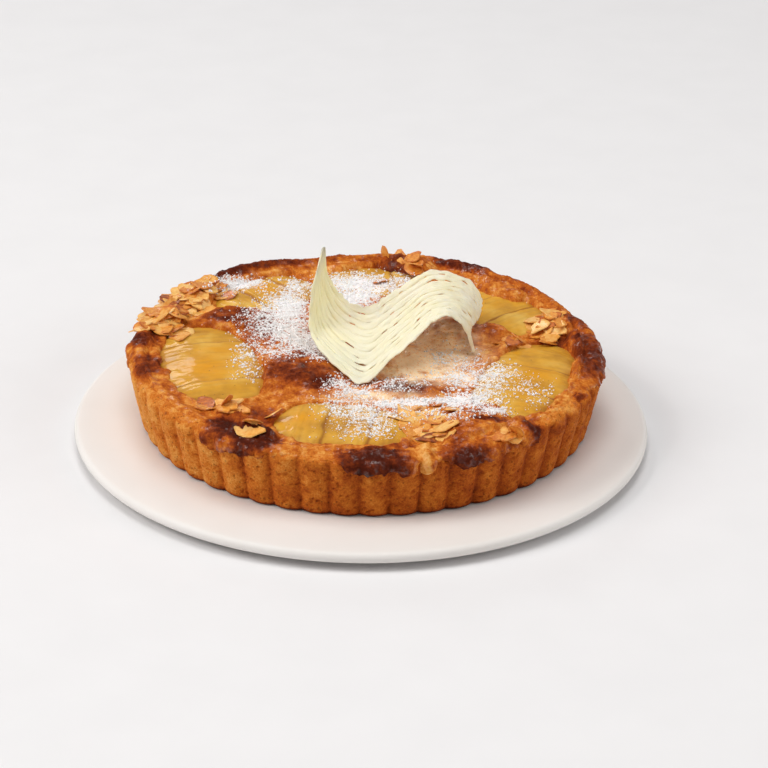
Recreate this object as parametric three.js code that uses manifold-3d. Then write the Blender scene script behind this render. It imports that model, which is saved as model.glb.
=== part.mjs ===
// A pear and almond frangipane tart on its round cake plate, in millimetres, +Z up.
// The origin is the middle of the plate's foot, and -Y is the front.
import * as THREE from 'three';
import { mergeVertices } from 'three/addons/utils/BufferGeometryUtils.js';
import Module from 'manifold-3d';

const wasm = await Module();
wasm.setup();

// ---- driving dimensions ----
const gap = 0.3; // between pieces that touch

const plateRadius = 155;
const plateTop = 10;
const plateThick = 6;
const footRadius = 96;
const footWidth = 6;

const tartX = 2.1; // the tart sits a little off the plate's middle
const tartY = 6.5;
const baseRadius = 119.6; // of the case, at the foot of its wall
const footForward = 2.5; // the wall leans back a little: its foot is this much nearer the front
const topRadius = 127.2; // at the wall's top edge
const wallHeight = 33.3;
const wallLift = 0.9; // the wall's top edge is this much higher at the back, and lower at the front
const fluteCount = 50;
const fluteSteps = 4; // points across each flute
const fluteDepth = 2.2;
const fluteTurn = -91.2; // degrees, one of the valleys between flutes
const crownRadius = 121; // the rim's highest line
const crownHeight = 37.4;
const crownLift = 3; // as the wall's, for the rim
const crownShoulder = 1.1; // how much higher the rim is at the back left and back right
const fillRadius = 117; // the case's inner wall where the filling meets it
const floorRadius = 111;
const floorThick = 4;
const fillHeight = 33.6;
const fillLift = 1; // as the wall's, for the filling
const fillEdge = 0.5; // the case's inner wall ends this far below the filling's level
const mergeDistance = 1e-4;

const flakeLength = 13;
const flakeWidth = 9;
const flakeThick = 1.3;
const flakeSunk = 0.25; // how much of its thickness is in what it lies on

const sheetThick = 1.6; // the white chocolate lattice
const sheetSag = 3; // how far its middle hangs below its two edges

const degrees = Math.PI / 180;

// ---- small helpers ----
function seeded(seed) {
  let state = seed;
  return () => {
    state = (state * 1664525 + 1013904223) % 4294967296;
    return state / 4294967296;
  };
}

function polar(angle, radius, z) {
  return new THREE.Vector3(radius * Math.cos(angle), radius * Math.sin(angle), z);
}

function ring(count, place) {
  return Array.from({ length: count }, (_, i) => place((i / count) * 2 * Math.PI));
}

// Joins rings of points, first to last, into one closed skin. The first and last ring hold one
// point, and the others may each hold their own number.
function skin(rings) {
  const positions = rings.flat().flatMap((point) => point.toArray());
  const index = [];
  let start = 0;
  for (let k = 0; k + 1 < rings.length; k += 1) {
    const countA = rings[k].length;
    const countB = rings[k + 1].length;
    const startB = start + countA;
    let a = 0;
    let b = 0;
    while (a < countA || b < countB) {
      const stepA = countA > 1 && a < countA;
      const stepB = countB > 1 && b < countB;
      if (!stepA && !stepB) break;
      const nowA = start + (a % countA);
      const nowB = startB + (b % countB);
      if (stepA && (!stepB || (a + 1) / countA <= (b + 1) / countB)) {
        index.push(nowA, start + ((a + 1) % countA), nowB);
        a += 1;
      } else {
        index.push(nowA, startB + ((b + 1) % countB), nowB);
        b += 1;
      }
    }
    start += countA;
  }
  const geometry = new THREE.BufferGeometry();
  geometry.setAttribute('position', new THREE.Float32BufferAttribute(positions, 3));
  geometry.setIndex(index);
  return geometry;
}

function toSolid(geometry) {
  const bare = geometry.clone();
  bare.deleteAttribute('normal');
  bare.deleteAttribute('uv');
  const merged = mergeVertices(bare, mergeDistance);
  return new wasm.Manifold(
    new wasm.Mesh({
      numProp: 3,
      vertProperties: new Float32Array(merged.attributes.position.array),
      triVerts: new Uint32Array(merged.index.array),
    }),
  );
}

function toGeometry(solid) {
  const mesh = solid.getMesh();
  const geometry = new THREE.BufferGeometry();
  geometry.setAttribute('position', new THREE.BufferAttribute(mesh.vertProperties, 3));
  geometry.setIndex(new THREE.BufferAttribute(mesh.triVerts, 1));
  return geometry;
}

function largestBody(solid) {
  return solid.decompose().reduce((best, piece) => (piece.volume() > best.volume() ? piece : best));
}

function material(color, roughness) {
  return new THREE.MeshStandardMaterial({ color, roughness, metalness: 0 });
}

// ---- plate: a flat stoneware disc with a rounded edge, on a foot ring ----
function plateGeometry() {
  const underside = plateTop - plateThick;
  const middle = plateTop - plateThick / 2;
  const edge = plateThick / 2;
  const profile = new THREE.Path();
  profile.moveTo(0, underside);
  profile.lineTo(footRadius - footWidth - 1, underside);
  profile.lineTo(footRadius - footWidth, 0);
  profile.lineTo(footRadius, 0);
  profile.lineTo(footRadius + 2, underside);
  profile.lineTo(plateRadius - edge, underside);
  profile.absarc(plateRadius - edge, middle, edge, -Math.PI / 2, Math.PI / 2, false);
  profile.lineTo(0, plateTop);
  const lathe = new THREE.LatheGeometry(profile.getPoints(2), 64);
  return lathe.rotateX(Math.PI / 2);
}

// ---- crust: the fluted shortcrust case ----
// The wall's outline from the foot up: height, share of the flutes' depth, and how far it is set in.
const wallOutline = [
  { z: 0, fluted: 0.8, inset: 1.2 },
  { z: 1.4, fluted: 1, inset: 0 },
  { z: wallHeight - 2, fluted: 1, inset: 0 },
  { z: wallHeight, fluted: 0.7, inset: 0.9 },
];
// The rim's from outside in: radius, drop below its highest line, and number of points round it.
const rimOutline = [
  { radius: 124.6, drop: 1.4, count: 80 },
  { radius: crownRadius, drop: 0, count: 72 },
  { radius: 118.6, drop: 1.9, count: 60 },
];
const innerCount = 60; // points round the inner wall
// The waves that make the rim uneven: share of the whole, number round the tart, and start.
const rimWaves = [
  { share: 0.5, count: 3, start: 1 },
  { share: 0.3, count: 7, start: 4 },
  { share: 0.2, count: 13, start: 0 },
];

function unevenness(angle, size) {
  const at = ({ share, count, start }) => share * Math.sin(count * angle + start);
  return size * rimWaves.reduce((sum, wave) => sum + at(wave), 0);
}

// The depth of the outer wall's flutes: 0 in a valley, fluteDepth on a crest.
function flute(angle) {
  const pitch = 360 / fluteCount;
  const along = ((angle / degrees - fluteTurn) / pitch) % 1;
  const across = 2 * ((along + 1) % 1) - 1;
  return fluteDepth * Math.sqrt(1 - across * across);
}

// grow is 0 for the case itself, and the gap for the space that it takes out of the filling.
function crustGeometry(grow) {
  const fromStart = (angle) => angle + fluteTurn * degrees;
  const wallRing = ({ z, fluted, inset }) =>
    ring(fluteCount * fluteSteps, (turn) => {
      const angle = fromStart(turn);
      const radius = baseRadius + ((topRadius - baseRadius) * z) / wallHeight;
      const depth = (flute(angle) - fluteDepth / 2) * fluted;
      const lift = wallLift * Math.sin(angle) + unevenness(angle, 0.8) + grow;
      const height = z > wallHeight / 2 ? z + lift : z || -grow;
      const point = polar(angle, radius + depth - inset + grow, height);
      point.y -= footForward * (1 - z / wallHeight);
      return point;
    });
  const rimRing = ({ radius, drop, count }) =>
    ring(count, (turn) => {
      const angle = fromStart(turn);
      const atShoulder = Math.sin(angle) > 0 ? Math.max(-Math.cos(4 * angle), 0) : 0;
      const lift = crownLift * Math.sin(angle) + unevenness(angle * 2, 1.2) + crownShoulder * atShoulder;
      const inward = radius < crownRadius ? grow : 0;
      return polar(angle, radius - inward + unevenness(angle * 3, 0.6), crownHeight - drop + lift + grow);
    });
  const innerRing = (radius, level) =>
    ring(innerCount, (turn) => {
      const point = polar(fromStart(turn), radius - grow, 0);
      return point.setZ(level(point.y));
    });
  return skin([
    [new THREE.Vector3(0, 0, -grow)],
    ...wallOutline.map(wallRing),
    ...rimOutline.map(rimRing),
    innerRing(fillRadius, (y) => fillLevel(y) - fillEdge),
    innerRing(floorRadius, () => floorThick + grow),
    [new THREE.Vector3(0, 0, floorThick + grow)],
  ]);
}

// ---- filling: frangipane, with browned mounds, overflow on the rim and flaked almonds ----
// Low mounds between the pears: centre, half sizes and height.
const mounds = [
  { x: -38, y: -26, alongX: 24, alongY: 26, height: 7 },
  { x: 22, y: -46, alongX: 20, alongY: 14, height: 4.5 },
  { x: 47, y: 28, alongX: 16, alongY: 15, height: 5 },
  { x: 70, y: 26, alongX: 10, alongY: 10, height: 4.5 },
  { x: 79, y: 8, alongX: 8, alongY: 9, height: 3.5 },
  { x: -74, y: 40, alongX: 20, alongY: 13, height: 5 },
  { x: -46, y: 26, alongX: 18, alongY: 22, height: 4 },
  { x: 4, y: 42, alongX: 26, alongY: 24, height: 3.5 },
  { x: 12, y: -6, alongX: 24, alongY: 20, height: 2 },
  { x: 60, y: -77, alongX: 14, alongY: 11, height: 7 },
];
const moundSteep = 1.3; // how soon a mound falls off outside its half sizes
// Slow waves over the top: height, and radians in each mm.
const ripples = [
  { height: 0.35, alongX: 0.31, alongY: 0.17 },
  { height: 0.3, alongX: -0.12, alongY: 0.39 },
];

function fillLevel(y) {
  return fillHeight + (fillLift * y) / fillRadius;
}

function fillTop(x, y) {
  const rippled = ripples.reduce((sum, r) => sum + r.height * Math.sin(x * r.alongX + y * r.alongY), 0);
  const raised = mounds.reduce((sum, mound) => {
    const away = ((x - mound.x) / mound.alongX) ** 2 + ((y - mound.y) / mound.alongY) ** 2;
    return sum + mound.height * Math.exp(-moundSteep * away * away);
  }, 0);
  return fillLevel(y) + rippled + raised;
}

function fillingCore() {
  const radii = [103, 89, 76, 64, 53, 42, 31, 20, 9];
  const around = 50;
  const wall = fillRadius - 2 * gap;
  const wallTop = fillHeight - fillLift - 1.5;
  const bottom = floorThick + 2 * gap;
  const topRing = (radius) =>
    ring(around, (angle) => {
      const point = polar(angle, radius, 0);
      return point.setZ(fillTop(point.x, point.y));
    });
  return skin([
    [new THREE.Vector3(0, 0, bottom)],
    ring(around, (angle) => polar(angle, floorRadius - 2 * gap, bottom)),
    ring(around, (angle) => polar(angle, wall, wallTop)),
    topRing(wall),
    ...radii.map(topRing),
    [new THREE.Vector3(0, 0, fillTop(0, 0))],
  ]);
}

// Puffed and burnt overflow: where it lies round the rim, its half sizes and its top.
const overflow = [
  { angle: 131, radius: 122, out: 6, round: 15, top: 41.5 },
  { angle: 146, radius: 116, out: 12, round: 15, top: 40.5 },
  { angle: 161, radius: 118, out: 12, round: 16, top: 39.5 },
  { angle: 178, radius: 122, out: 7.5, round: 13, top: 39 },
  { angle: 227, radius: 99, out: 12, round: 15, top: 36.8 },
  { angle: 239, radius: 116, out: 13, round: 18, top: 38.4 },
  { angle: 273, radius: 119.5, out: 7.5, round: 17, top: 37.4 },
  { angle: 285, radius: 120, out: 9, round: 7, top: 36.4 },
  { angle: 296, radius: 117, out: 12, round: 13, top: 37.4 },
  { angle: 303, radius: 104, out: 18, round: 17, top: 40.2 },
  { angle: 311.5, radius: 120, out: 8, round: 8, top: 39.5 },
  { angle: 350, radius: 119, out: 8, round: 15, top: 40 },
  { angle: 6, radius: 118, out: 9, round: 15, top: 40.5 },
  { angle: 20, radius: 111, out: 14, round: 16, top: 40 },
  { angle: 78, radius: 113, out: 10, round: 17, top: 41.5 },
];
const overflowDepth = 7; // from a lump's top down to its middle
const overflowCrag = 0.1; // how far its surface goes in and out, as a share of its size

function overflowLump(lump, number) {
  const ball = new THREE.IcosahedronGeometry(1, 1).deleteAttribute('normal').deleteAttribute('uv');
  const geometry = mergeVertices(ball);
  const place = geometry.attributes.position;
  const point = new THREE.Vector3();
  for (let i = 0; i < place.count; i += 1) {
    point.fromBufferAttribute(place, i);
    const waves = Math.sin(5 * point.x + 3 * number) + Math.sin(7 * point.y + 2 * number);
    point.multiplyScalar(1 + overflowCrag * waves);
    place.setXYZ(i, point.x, point.y, point.z);
  }
  geometry.scale(lump.out, lump.round, overflowDepth);
  geometry.rotateZ(lump.angle * degrees);
  const middle = polar(lump.angle * degrees, lump.radius, lump.top - overflowDepth);
  return geometry.translate(middle.x, middle.y, middle.z);
}

// Flaked almonds lie in clusters: centre, spread along and across the turn, and their number.
const almondClusters = [
  { x: -108, y: 44, along: 24, across: 9, turn: 110, count: 8 },
  { x: -91, y: 71, along: 8, across: 5, turn: 140, count: 2 },
  { x: -68, y: -76, along: 15, across: 8, turn: -35, count: 5 },
  { x: -54, y: -97, along: 8, across: 5, turn: 20, count: 1 },
  { x: 34, y: -84, along: 16, across: 12, turn: -70, count: 7 },
  { x: 64, y: -90, along: 13, across: 9, turn: 40, count: 3 },
  { x: 99, y: 32, along: 13, across: 8, turn: 100, count: 4 },
  { x: 22, y: 107, along: 14, across: 6, turn: -10, count: 3 },
];
const flakeSpiral = 2.4; // radians from one flake of a cluster to the next
const flakeTilt = { least: 8, spread: 22 }; // degrees
const flakeSize = { least: 0.8, spread: 0.35 };
// Single flakes that stand up: place, turn, tilt and height of their middle above the surface.
const standingFlakes = [
  { x: 8, y: 112, turn: 20, tilt: 68, lift: 3.4 },
  { x: -60, y: -99, turn: 60, tilt: 48, lift: 2.6 },
  { x: 84, y: 16, turn: 10, tilt: 30, lift: 1.6 },
  { x: 74, y: -94, turn: 70, tilt: 46, lift: 2.2 },
];
const standingSize = 0.95;

function flakeGeometry(x, y, z, turn, tilt, size) {
  const geometry = new THREE.CylinderGeometry(0.5, 0.5, 1, 7);
  geometry.rotateX(Math.PI / 2);
  geometry.scale(flakeLength * size, flakeWidth * size, flakeThick);
  geometry.rotateY(tilt * degrees);
  geometry.rotateZ(turn * degrees);
  return geometry.translate(x, y, z);
}

// The height of a solid's top over a point, and nothing where the solid isn't under it.
function heightOf(solid) {
  const mesh = new THREE.Mesh(toGeometry(solid), new THREE.MeshBasicMaterial({ side: THREE.DoubleSide }));
  const ray = new THREE.Raycaster();
  const down = new THREE.Vector3(0, 0, -1);
  return (x, y) => {
    ray.set(new THREE.Vector3(x, y, 100), down);
    return ray.intersectObject(mesh)[0]?.point.z;
  };
}

function almondFlakes(surface) {
  const draw = seeded(41);
  const flakes = [];
  for (const cluster of almondClusters) {
    for (let i = 0; i < cluster.count; i += 1) {
      const angle = i * flakeSpiral + draw();
      const reach = Math.sqrt((i + 0.5) / cluster.count);
      const along = cluster.along * reach * Math.cos(angle);
      const across = cluster.across * reach * Math.sin(angle);
      const turn = cluster.turn * degrees;
      const x = cluster.x + along * Math.cos(turn) - across * Math.sin(turn);
      const y = cluster.y + along * Math.sin(turn) + across * Math.cos(turn);
      const tilt = flakeTilt.least + flakeTilt.spread * draw();
      const size = flakeSize.least + flakeSize.spread * draw();
      const level = surface(x, y);
      const lift = flakeThick * (0.5 - flakeSunk);
      if (level) flakes.push(flakeGeometry(x, y, level + lift, 360 * draw(), tilt, size));
    }
  }
  for (const { x, y, turn, tilt, lift } of standingFlakes) {
    flakes.push(flakeGeometry(x, y, surface(x, y) + lift, turn, tilt, standingSize));
  }
  return flakes;
}

// ---- pears: poached halves, sliced across and fanned, sunk in the filling ----
// Middle, direction of the length, length, width and the cuts as shares of the length.
const pears = [
  { name: 'pear_left', x: -83, y: -15, turn: 104, length: 98, width: 55, cuts: [0.24, 0.72] },
  { name: 'pear_front', x: -11, y: -86, turn: -7, length: 74, width: 52, cuts: [0.38, 0.7] },
  { name: 'pear_right', x: 85, y: -29, turn: 71, length: 96, width: 50, cuts: [0.3, 0.62] },
  { name: 'pear_right_back', x: 71, y: 59, turn: 130, length: 76, width: 46, cuts: [0.35, 0.65] },
  { name: 'pear_back', x: 4, y: 93, turn: 182, length: 62, width: 45, cuts: [0.33, 0.66] },
  { name: 'pear_back_left', x: -57, y: 73, turn: 219, length: 66, width: 46, cuts: [0.3, 0.65] },
];
const pearDome = 2.6; // above the level of the filling
const pearEdge = -0.6; // its edge, from the same level
const pearSunk = 10;
const pearBaseWidth = 0.75; // of its underside, as a share
const pearBlunt = 0.36; // 0.5 would be an ellipse seen from above
const pearTaper = 0.16; // how much narrower its stalk end is
const pearRunOut = 6; // its dome is at full height from 1/6 of the length inwards
const sliceStep = 1.3; // how far each slice stands over the next
const sliceCut = 0.012; // half of the cut between two slices, as a share of the length

// The sections of a pear: share of the length, and how far the slice there has come up.
function pearSections(cuts) {
  const bounds = [0, ...cuts, 1];
  const sections = [];
  for (let k = 0; k + 1 < bounds.length; k += 1) {
    const from = bounds[k] + sliceCut;
    const to = bounds[k + 1] - sliceCut;
    for (const share of [0, 0.5, 1]) {
      sections.push({ at: from + (to - from) * share, rise: sliceStep * (share - 0.5) });
    }
  }
  return sections;
}

function pearGeometry(pear, grow) {
  const domeSteps = 5;
  const section = ({ at, rise }) => {
    const rounded = (4 * at * (1 - at)) ** pearBlunt * (1.06 - pearTaper * at);
    const halfWidth = (pear.width / 2) * rounded + grow;
    const full = Math.min(1, pearRunOut * at, pearRunOut * (1 - at));
    const points = [];
    for (let i = 0; i <= domeSteps; i += 1) {
      const across = Math.PI * (i / domeSteps);
      const level = pearEdge + (pearDome - pearEdge + rise) * Math.sin(across) * full;
      points.push(new THREE.Vector3(0, halfWidth * Math.cos(across), level + grow));
    }
    for (const side of [-pearBaseWidth, pearBaseWidth]) {
      points.push(new THREE.Vector3(0, halfWidth * side, -pearSunk - grow));
    }
    const along = (at - 0.5) * (pear.length + 2 * grow);
    return points.map((point) => point.setX(along));
  };
  const end = (at) => [new THREE.Vector3((at - 0.5) * (pear.length + 2 * grow), 0, -pearSunk / 3)];
  const geometry = skin([end(0), ...pearSections(pear.cuts).map(section), end(1)]);
  geometry.rotateZ(pear.turn * degrees);
  return geometry.translate(pear.x, pear.y, fillLevel(pear.y));
}

function fillingGeometry() {
  let body = toSolid(fillingCore());
  overflow.forEach((lump, number) => {
    body = body.add(toSolid(overflowLump(lump, number)));
  });
  const surface = heightOf(body);
  for (const flake of almondFlakes(surface)) {
    body = body.add(toSolid(flake));
  }
  for (const pear of pears) {
    body = body.subtract(toSolid(pearGeometry(pear, gap)));
  }
  body = body.subtract(toSolid(crustGeometry(gap)));
  return toGeometry(largestBody(body));
}

// ---- white chocolate lattice: one thin wavy sheet of piped threads with narrow slits ----
// The front and back edges, from the spike on the left, through the valley and over the crest
// to the tip on the right.
const frontEdge = [
  [-24, 14, 90],
  [-30, 4, 64],
  [-30, -4, 47],
  [-16, -25, 38.4],
  [-1, -38.5, 34.6],
  [12, -31, 44.3],
  [25, -20, 51.6],
  [35, -10, 57.7],
  [44, -4, 58.9],
  [52, -2, 51.4],
  [58, 1, 34.6],
];
const backEdge = [
  [-23, 18, 88.5],
  [-22, 26, 70.3],
  [-16, 29, 58.4],
  [-8, 25, 52.4],
  [2, 20, 53.1],
  [10, 25, 55.8],
  [21, 35, 60],
  [35, 44, 64.5],
  [48, 46, 61.2],
  [58, 46, 56],
  [64, 43, 47.5],
];

function latticeGeometry() {
  const toCurve = (points) => new THREE.CatmullRomCurve3(points.map((p) => new THREE.Vector3(...p)));
  const front = toCurve(frontEdge);
  const back = toCurve(backEdge);
  const place = (u, v) => {
    const point = front.getPoint(u).lerp(back.getPoint(u), v);
    return point.setZ(point.z - sheetSag * Math.sin(Math.PI * v) * Math.sin(Math.PI * u));
  };
  const step = 0.01;
  const normal = (u, v) => {
    const du = place(Math.min(u + step, 1), v).sub(place(Math.max(u - step, 0), v));
    const dv = place(u, Math.min(v + step, 1)).sub(place(u, Math.max(v - step, 0)));
    return du.cross(dv).normalize();
  };
  const lengths = 25;
  const threads = 7;
  const slitWidth = 0.32; // as a share of a band
  // Across the sheet, wide bands of thread take turns with narrow rows of slits.
  const lines = [0];
  for (let k = 1; k < threads; k += 1) {
    lines.push((k - slitWidth / 2) / threads, (k + slitWidth / 2) / threads);
  }
  lines.push(1);
  const bands = lines.length - 1;
  // Every fourth cell of a row is a slit, one further on in every second row.
  const isSlit = (i, j) => j % 2 === 1 && i > 2 && i < lengths - 3 && i % 4 === ((j - 1) / 2) % 2;
  const positions = [];
  for (const side of [0.5, -0.5]) {
    for (let i = 0; i <= lengths; i += 1) {
      for (const v of lines) {
        const point = place(i / lengths, v).addScaledVector(normal(i / lengths, v), side * sheetThick);
        positions.push(...point.toArray());
      }
    }
  }
  const layer = (lengths + 1) * (bands + 1);
  const at = (i, j, side) => side * layer + i * (bands + 1) + j;
  const solidCell = (i, j) => i >= 0 && i < lengths && j >= 0 && j < bands && !isSlit(i, j);
  const index = [];
  const wall = (a, b) => index.push(a, b, b + layer, a, b + layer, a + layer);
  for (let i = 0; i < lengths; i += 1) {
    for (let j = 0; j < bands; j += 1) {
      if (!solidCell(i, j)) continue;
      const corners = [at(i, j, 0), at(i + 1, j, 0), at(i + 1, j + 1, 0), at(i, j + 1, 0)];
      const [a, b, c, d] = corners;
      index.push(a, b, c, a, c, d);
      index.push(a + layer, c + layer, b + layer, a + layer, d + layer, c + layer);
      if (!solidCell(i, j - 1)) wall(b, a);
      if (!solidCell(i + 1, j)) wall(c, b);
      if (!solidCell(i, j + 1)) wall(d, c);
      if (!solidCell(i - 1, j)) wall(a, d);
    }
  }
  const geometry = new THREE.BufferGeometry();
  geometry.setAttribute('position', new THREE.Float32BufferAttribute(positions, 3));
  geometry.setIndex(index);
  return geometry;
}

// ---- the whole ----
const pastry = material(0xb06a28, 0.75);
const frangipane = material(0xa5541d, 0.6);
const poachedPear = material(0xd9ac55, 0.35);
const whiteChocolate = material(0xf0e8bf, 0.45);
const stoneware = material(0xece4dc, 0.5);

function piece(name, geometry, finish) {
  const mesh = new THREE.Mesh(geometry, finish);
  mesh.name = name;
  return mesh;
}

const object = new THREE.Group();
object.add(piece('plate', plateGeometry(), stoneware));

const tart = new THREE.Group();
tart.position.set(tartX, tartY, plateTop + gap);
tart.add(piece('crust', crustGeometry(0), pastry));
tart.add(piece('filling', fillingGeometry(), frangipane));
for (const pear of pears) {
  tart.add(piece(pear.name, pearGeometry(pear, 0), poachedPear));
}
tart.add(piece('chocolate_lattice', latticeGeometry(), whiteChocolate));
object.add(tart);

export default object;
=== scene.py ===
import math
import random

import bmesh
import bpy
import numpy as np
from mathutils import Euler, Matrix, Vector, noise
from mathutils.bvhtree import BVHTree


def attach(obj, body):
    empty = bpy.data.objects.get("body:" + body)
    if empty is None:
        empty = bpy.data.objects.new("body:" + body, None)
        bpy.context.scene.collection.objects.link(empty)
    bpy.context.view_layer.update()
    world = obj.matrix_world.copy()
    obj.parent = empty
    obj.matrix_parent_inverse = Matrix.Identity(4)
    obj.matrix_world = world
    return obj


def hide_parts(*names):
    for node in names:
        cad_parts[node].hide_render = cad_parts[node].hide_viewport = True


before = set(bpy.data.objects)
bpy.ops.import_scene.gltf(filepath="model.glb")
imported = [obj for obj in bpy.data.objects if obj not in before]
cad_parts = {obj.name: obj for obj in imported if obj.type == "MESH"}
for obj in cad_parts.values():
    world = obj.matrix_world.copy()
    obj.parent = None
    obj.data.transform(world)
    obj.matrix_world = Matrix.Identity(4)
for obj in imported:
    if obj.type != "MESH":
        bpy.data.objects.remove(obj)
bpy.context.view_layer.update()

# A pear and almond frangipane tart on its plate. Pieces are shaped in millimetres, the tart's
# round its own middle, and go to metres when they are finished.
mm = 0.001
tartPlace = (2.1, 6.5, 10.3)


def toLinear(hexColour):
    channels = [int(hexColour[i:i + 2], 16) / 255 for i in (1, 3, 5)]
    linear = [c / 12.92 if c <= 0.04045 else ((c + 0.055) / 1.055) ** 2.4 for c in channels]
    return (*linear, 1.0)


# Adds one node. Inputs are values, hex colours, sockets to link, or nodes, which are linked from
# their first output; stops are a ramp's places and colours.
def addNode(tree, kind, inputs=None, stops=None, **settings):
    node = tree.nodes.new("ShaderNode" + kind)
    for key, value in settings.items():
        setattr(node, key, value)
    for key, value in (inputs or {}).items():
        if isinstance(value, bpy.types.Node):
            value = next(output for output in value.outputs if output.enabled)
        if isinstance(value, bpy.types.NodeSocket):
            tree.links.new(value, node.inputs[key])
        else:
            node.inputs[key].default_value = toLinear(value) if isinstance(value, str) else value
    if stops:
        elements = node.color_ramp.elements
        while len(elements) < len(stops):
            elements.new(0.5)
        for element, (place, colour) in zip(elements, stops):
            element.position = place
            element.color = toLinear(colour)
    return node


# Starts a material, with the node its patterns are placed by; the middle is in millimetres.
def newMaterial(name, middle=(0, 0, 0)):
    material = bpy.data.materials.new(name)
    material.use_nodes = True
    tree = material.node_tree
    tree.nodes.clear()
    coords = addNode(tree, "TexCoord")
    place = addNode(tree, "Mapping", {
        "Vector": coords.outputs["Object"], "Location": [-side * mm for side in middle],
    })
    return material, tree, place


def smoothStep(low, high, value):
    share = np.clip((value - low) / (high - low), 0, 1)
    return share * share * (3 - 2 * share)


def turnedBy(degrees, x, y):
    turn = math.radians(degrees)
    return x * math.cos(turn) - y * math.sin(turn), x * math.sin(turn) + y * math.cos(turn)


def polarPlaces(radius, angle, height):
    return np.stack([radius * np.cos(angle), radius * np.sin(angle), height], axis=1)


# Fractal noise, about -0.7 to 0.7, at each place; grain is its size in the places' own unit.
def noiseAt(places, grain, seed, octaves=3):
    shift = np.array([17.3, 5.1, 9.7]) * seed
    return np.array([noise.fractal(place, 1, 2, octaves) for place in (places / grain + shift).tolist()])


def readPlaces(mesh):
    flat = np.empty(len(mesh.vertices) * 3, np.float32)
    mesh.vertices.foreach_get("co", flat)
    return flat.reshape(-1, 3).astype(float)


def writePlaces(mesh, places):
    mesh.vertices.foreach_set("co", places.astype(np.float32).ravel())
    mesh.update()


def paint(mesh, name, values):
    layer = mesh.attributes.new(name, "FLOAT", "POINT")
    layer.data.foreach_set("value", np.asarray(values, np.float32))


def toMesh(bm, name):
    mesh = bpy.data.meshes.new(name)
    bm.to_mesh(mesh)
    bm.free()
    return mesh


# Turns an outline of (radius, height, mark) points into a closed body; the mark stays on each
# point as "along", which says where on the outline it lies. One sector is spun, then repeated.
def spinOutline(name, outline, steps, sectors=24):
    bm = bmesh.new()
    along = bm.verts.layers.float.new("along")
    verts = []
    for radius, height, mark in outline:
        vert = bm.verts.new((radius, 0, height))
        vert[along] = mark
        verts.append(vert)
    edges = [bm.edges.new(pair) for pair in zip(verts, verts[1:])]
    bmesh.ops.spin(
        bm, geom=verts + edges, cent=(0, 0, 0), axis=(0, 0, 1), angle=2 * math.pi / sectors,
        steps=steps // sectors, use_merge=False, use_duplicate=False,
    )
    bmesh.ops.spin(
        bm, geom=bm.verts[:] + bm.edges[:] + bm.faces[:], cent=(0, 0, 0), axis=(0, 0, 1),
        angle=2 * math.pi * (1 - 1 / sectors), steps=sectors - 1, use_merge=False, use_duplicate=True,
    )
    bmesh.ops.remove_doubles(bm, verts=bm.verts, dist=1e-3)
    bmesh.ops.recalc_face_normals(bm, faces=bm.faces)
    return toMesh(bm, name)


def readMarks(mesh):
    marks = np.empty(len(mesh.vertices), np.float32)
    mesh.attributes["along"].data.foreach_get("value", marks)
    return marks


# The mesh goes from millimetres to metres and becomes a piece that rides on the one body.
def finishPiece(mesh, material, replaced=(), place=tartPlace):
    mesh.transform(Matrix.Scale(mm, 4) @ Matrix.Translation(place))
    mesh.shade_smooth()
    mesh.materials.append(material)
    obj = bpy.data.objects.new(mesh.name, mesh)
    bpy.context.scene.collection.objects.link(obj)
    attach(obj, "root")
    if replaced:
        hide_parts(*replaced)
    print(f"made {obj.name}: {len(mesh.polygons)} faces")
    return obj


# Camera: seen from the front, 26 degrees above the plate.
cameraSettings = {
    "place": (0, -1.38891, 0.69807),  # metres
    "rise": 26.354,  # degrees
    "offAxis": (0.6352, -0.4548, 0.7790),  # degrees, how the picture was framed
    "lens": 133.754,
    "sensor": 36,
}


def addCamera(settings):
    camera = bpy.data.cameras.new("studio_camera")
    camera.lens = settings["lens"]
    camera.sensor_width = settings["sensor"]
    camera.clip_end = 20
    level = Euler((math.radians(90 - settings["rise"]), 0, 0)).to_matrix()
    offAxis = Euler([math.radians(a) for a in settings["offAxis"]]).to_matrix()
    obj = bpy.data.objects.new("studio_camera", camera)
    obj.matrix_world = Matrix.Translation(settings["place"]) @ (level @ offAxis).to_4x4()
    bpy.context.scene.collection.objects.link(obj)
    bpy.context.scene.camera = obj


# Light: a large soft key on the left with a small lamp before it for the glints, weaker panels
# overhead, behind and on the right, and dim pale walls.
lightSettings = {
    "world": ("#F6F6F8", 0.31),
    "boxes": [
        {"name": "left_softbox", "place": (-2.6, -0.6, 2.2), "size": 2.0, "power": 56, "colour": "#FFFCF8"},
        {"name": "overhead_panel", "place": (0.0, -0.1, 2.6), "size": 1.6, "power": 26, "colour": "#FFFEFC"},
        {"name": "back_panel", "place": (-0.6, 2.1, 1.3), "size": 0.5, "power": 4, "colour": "#FFFFFF"},
        {"name": "right_panel", "place": (2.4, -0.6, 1.4), "size": 1.6, "power": 17, "colour": "#FFFCF8"},
        {"name": "small_lamp", "place": (-1.7, -0.4, 1.9), "size": 0.26, "power": 3.5, "colour": "#FFFFFF"},
    ],
}


def addLights(settings):
    world = bpy.data.worlds.new("pale_walls")
    world.use_nodes = True
    background = world.node_tree.nodes["Background"]
    background.inputs["Color"].default_value = toLinear(settings["world"][0])
    background.inputs["Strength"].default_value = settings["world"][1]
    bpy.context.scene.world = world
    for box in settings["boxes"]:
        light = bpy.data.lights.new(box["name"], "AREA")
        light.shape = "DISK"
        light.size = box["size"]
        light.energy = box["power"]
        light.color = toLinear(box["colour"])[:3]
        obj = bpy.data.objects.new(box["name"], light)
        place = Vector(box["place"])
        obj.matrix_world = Matrix.Translation(place) @ (-place).to_track_quat("-Z", "Y").to_matrix().to_4x4()
        bpy.context.scene.collection.objects.link(obj)


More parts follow.
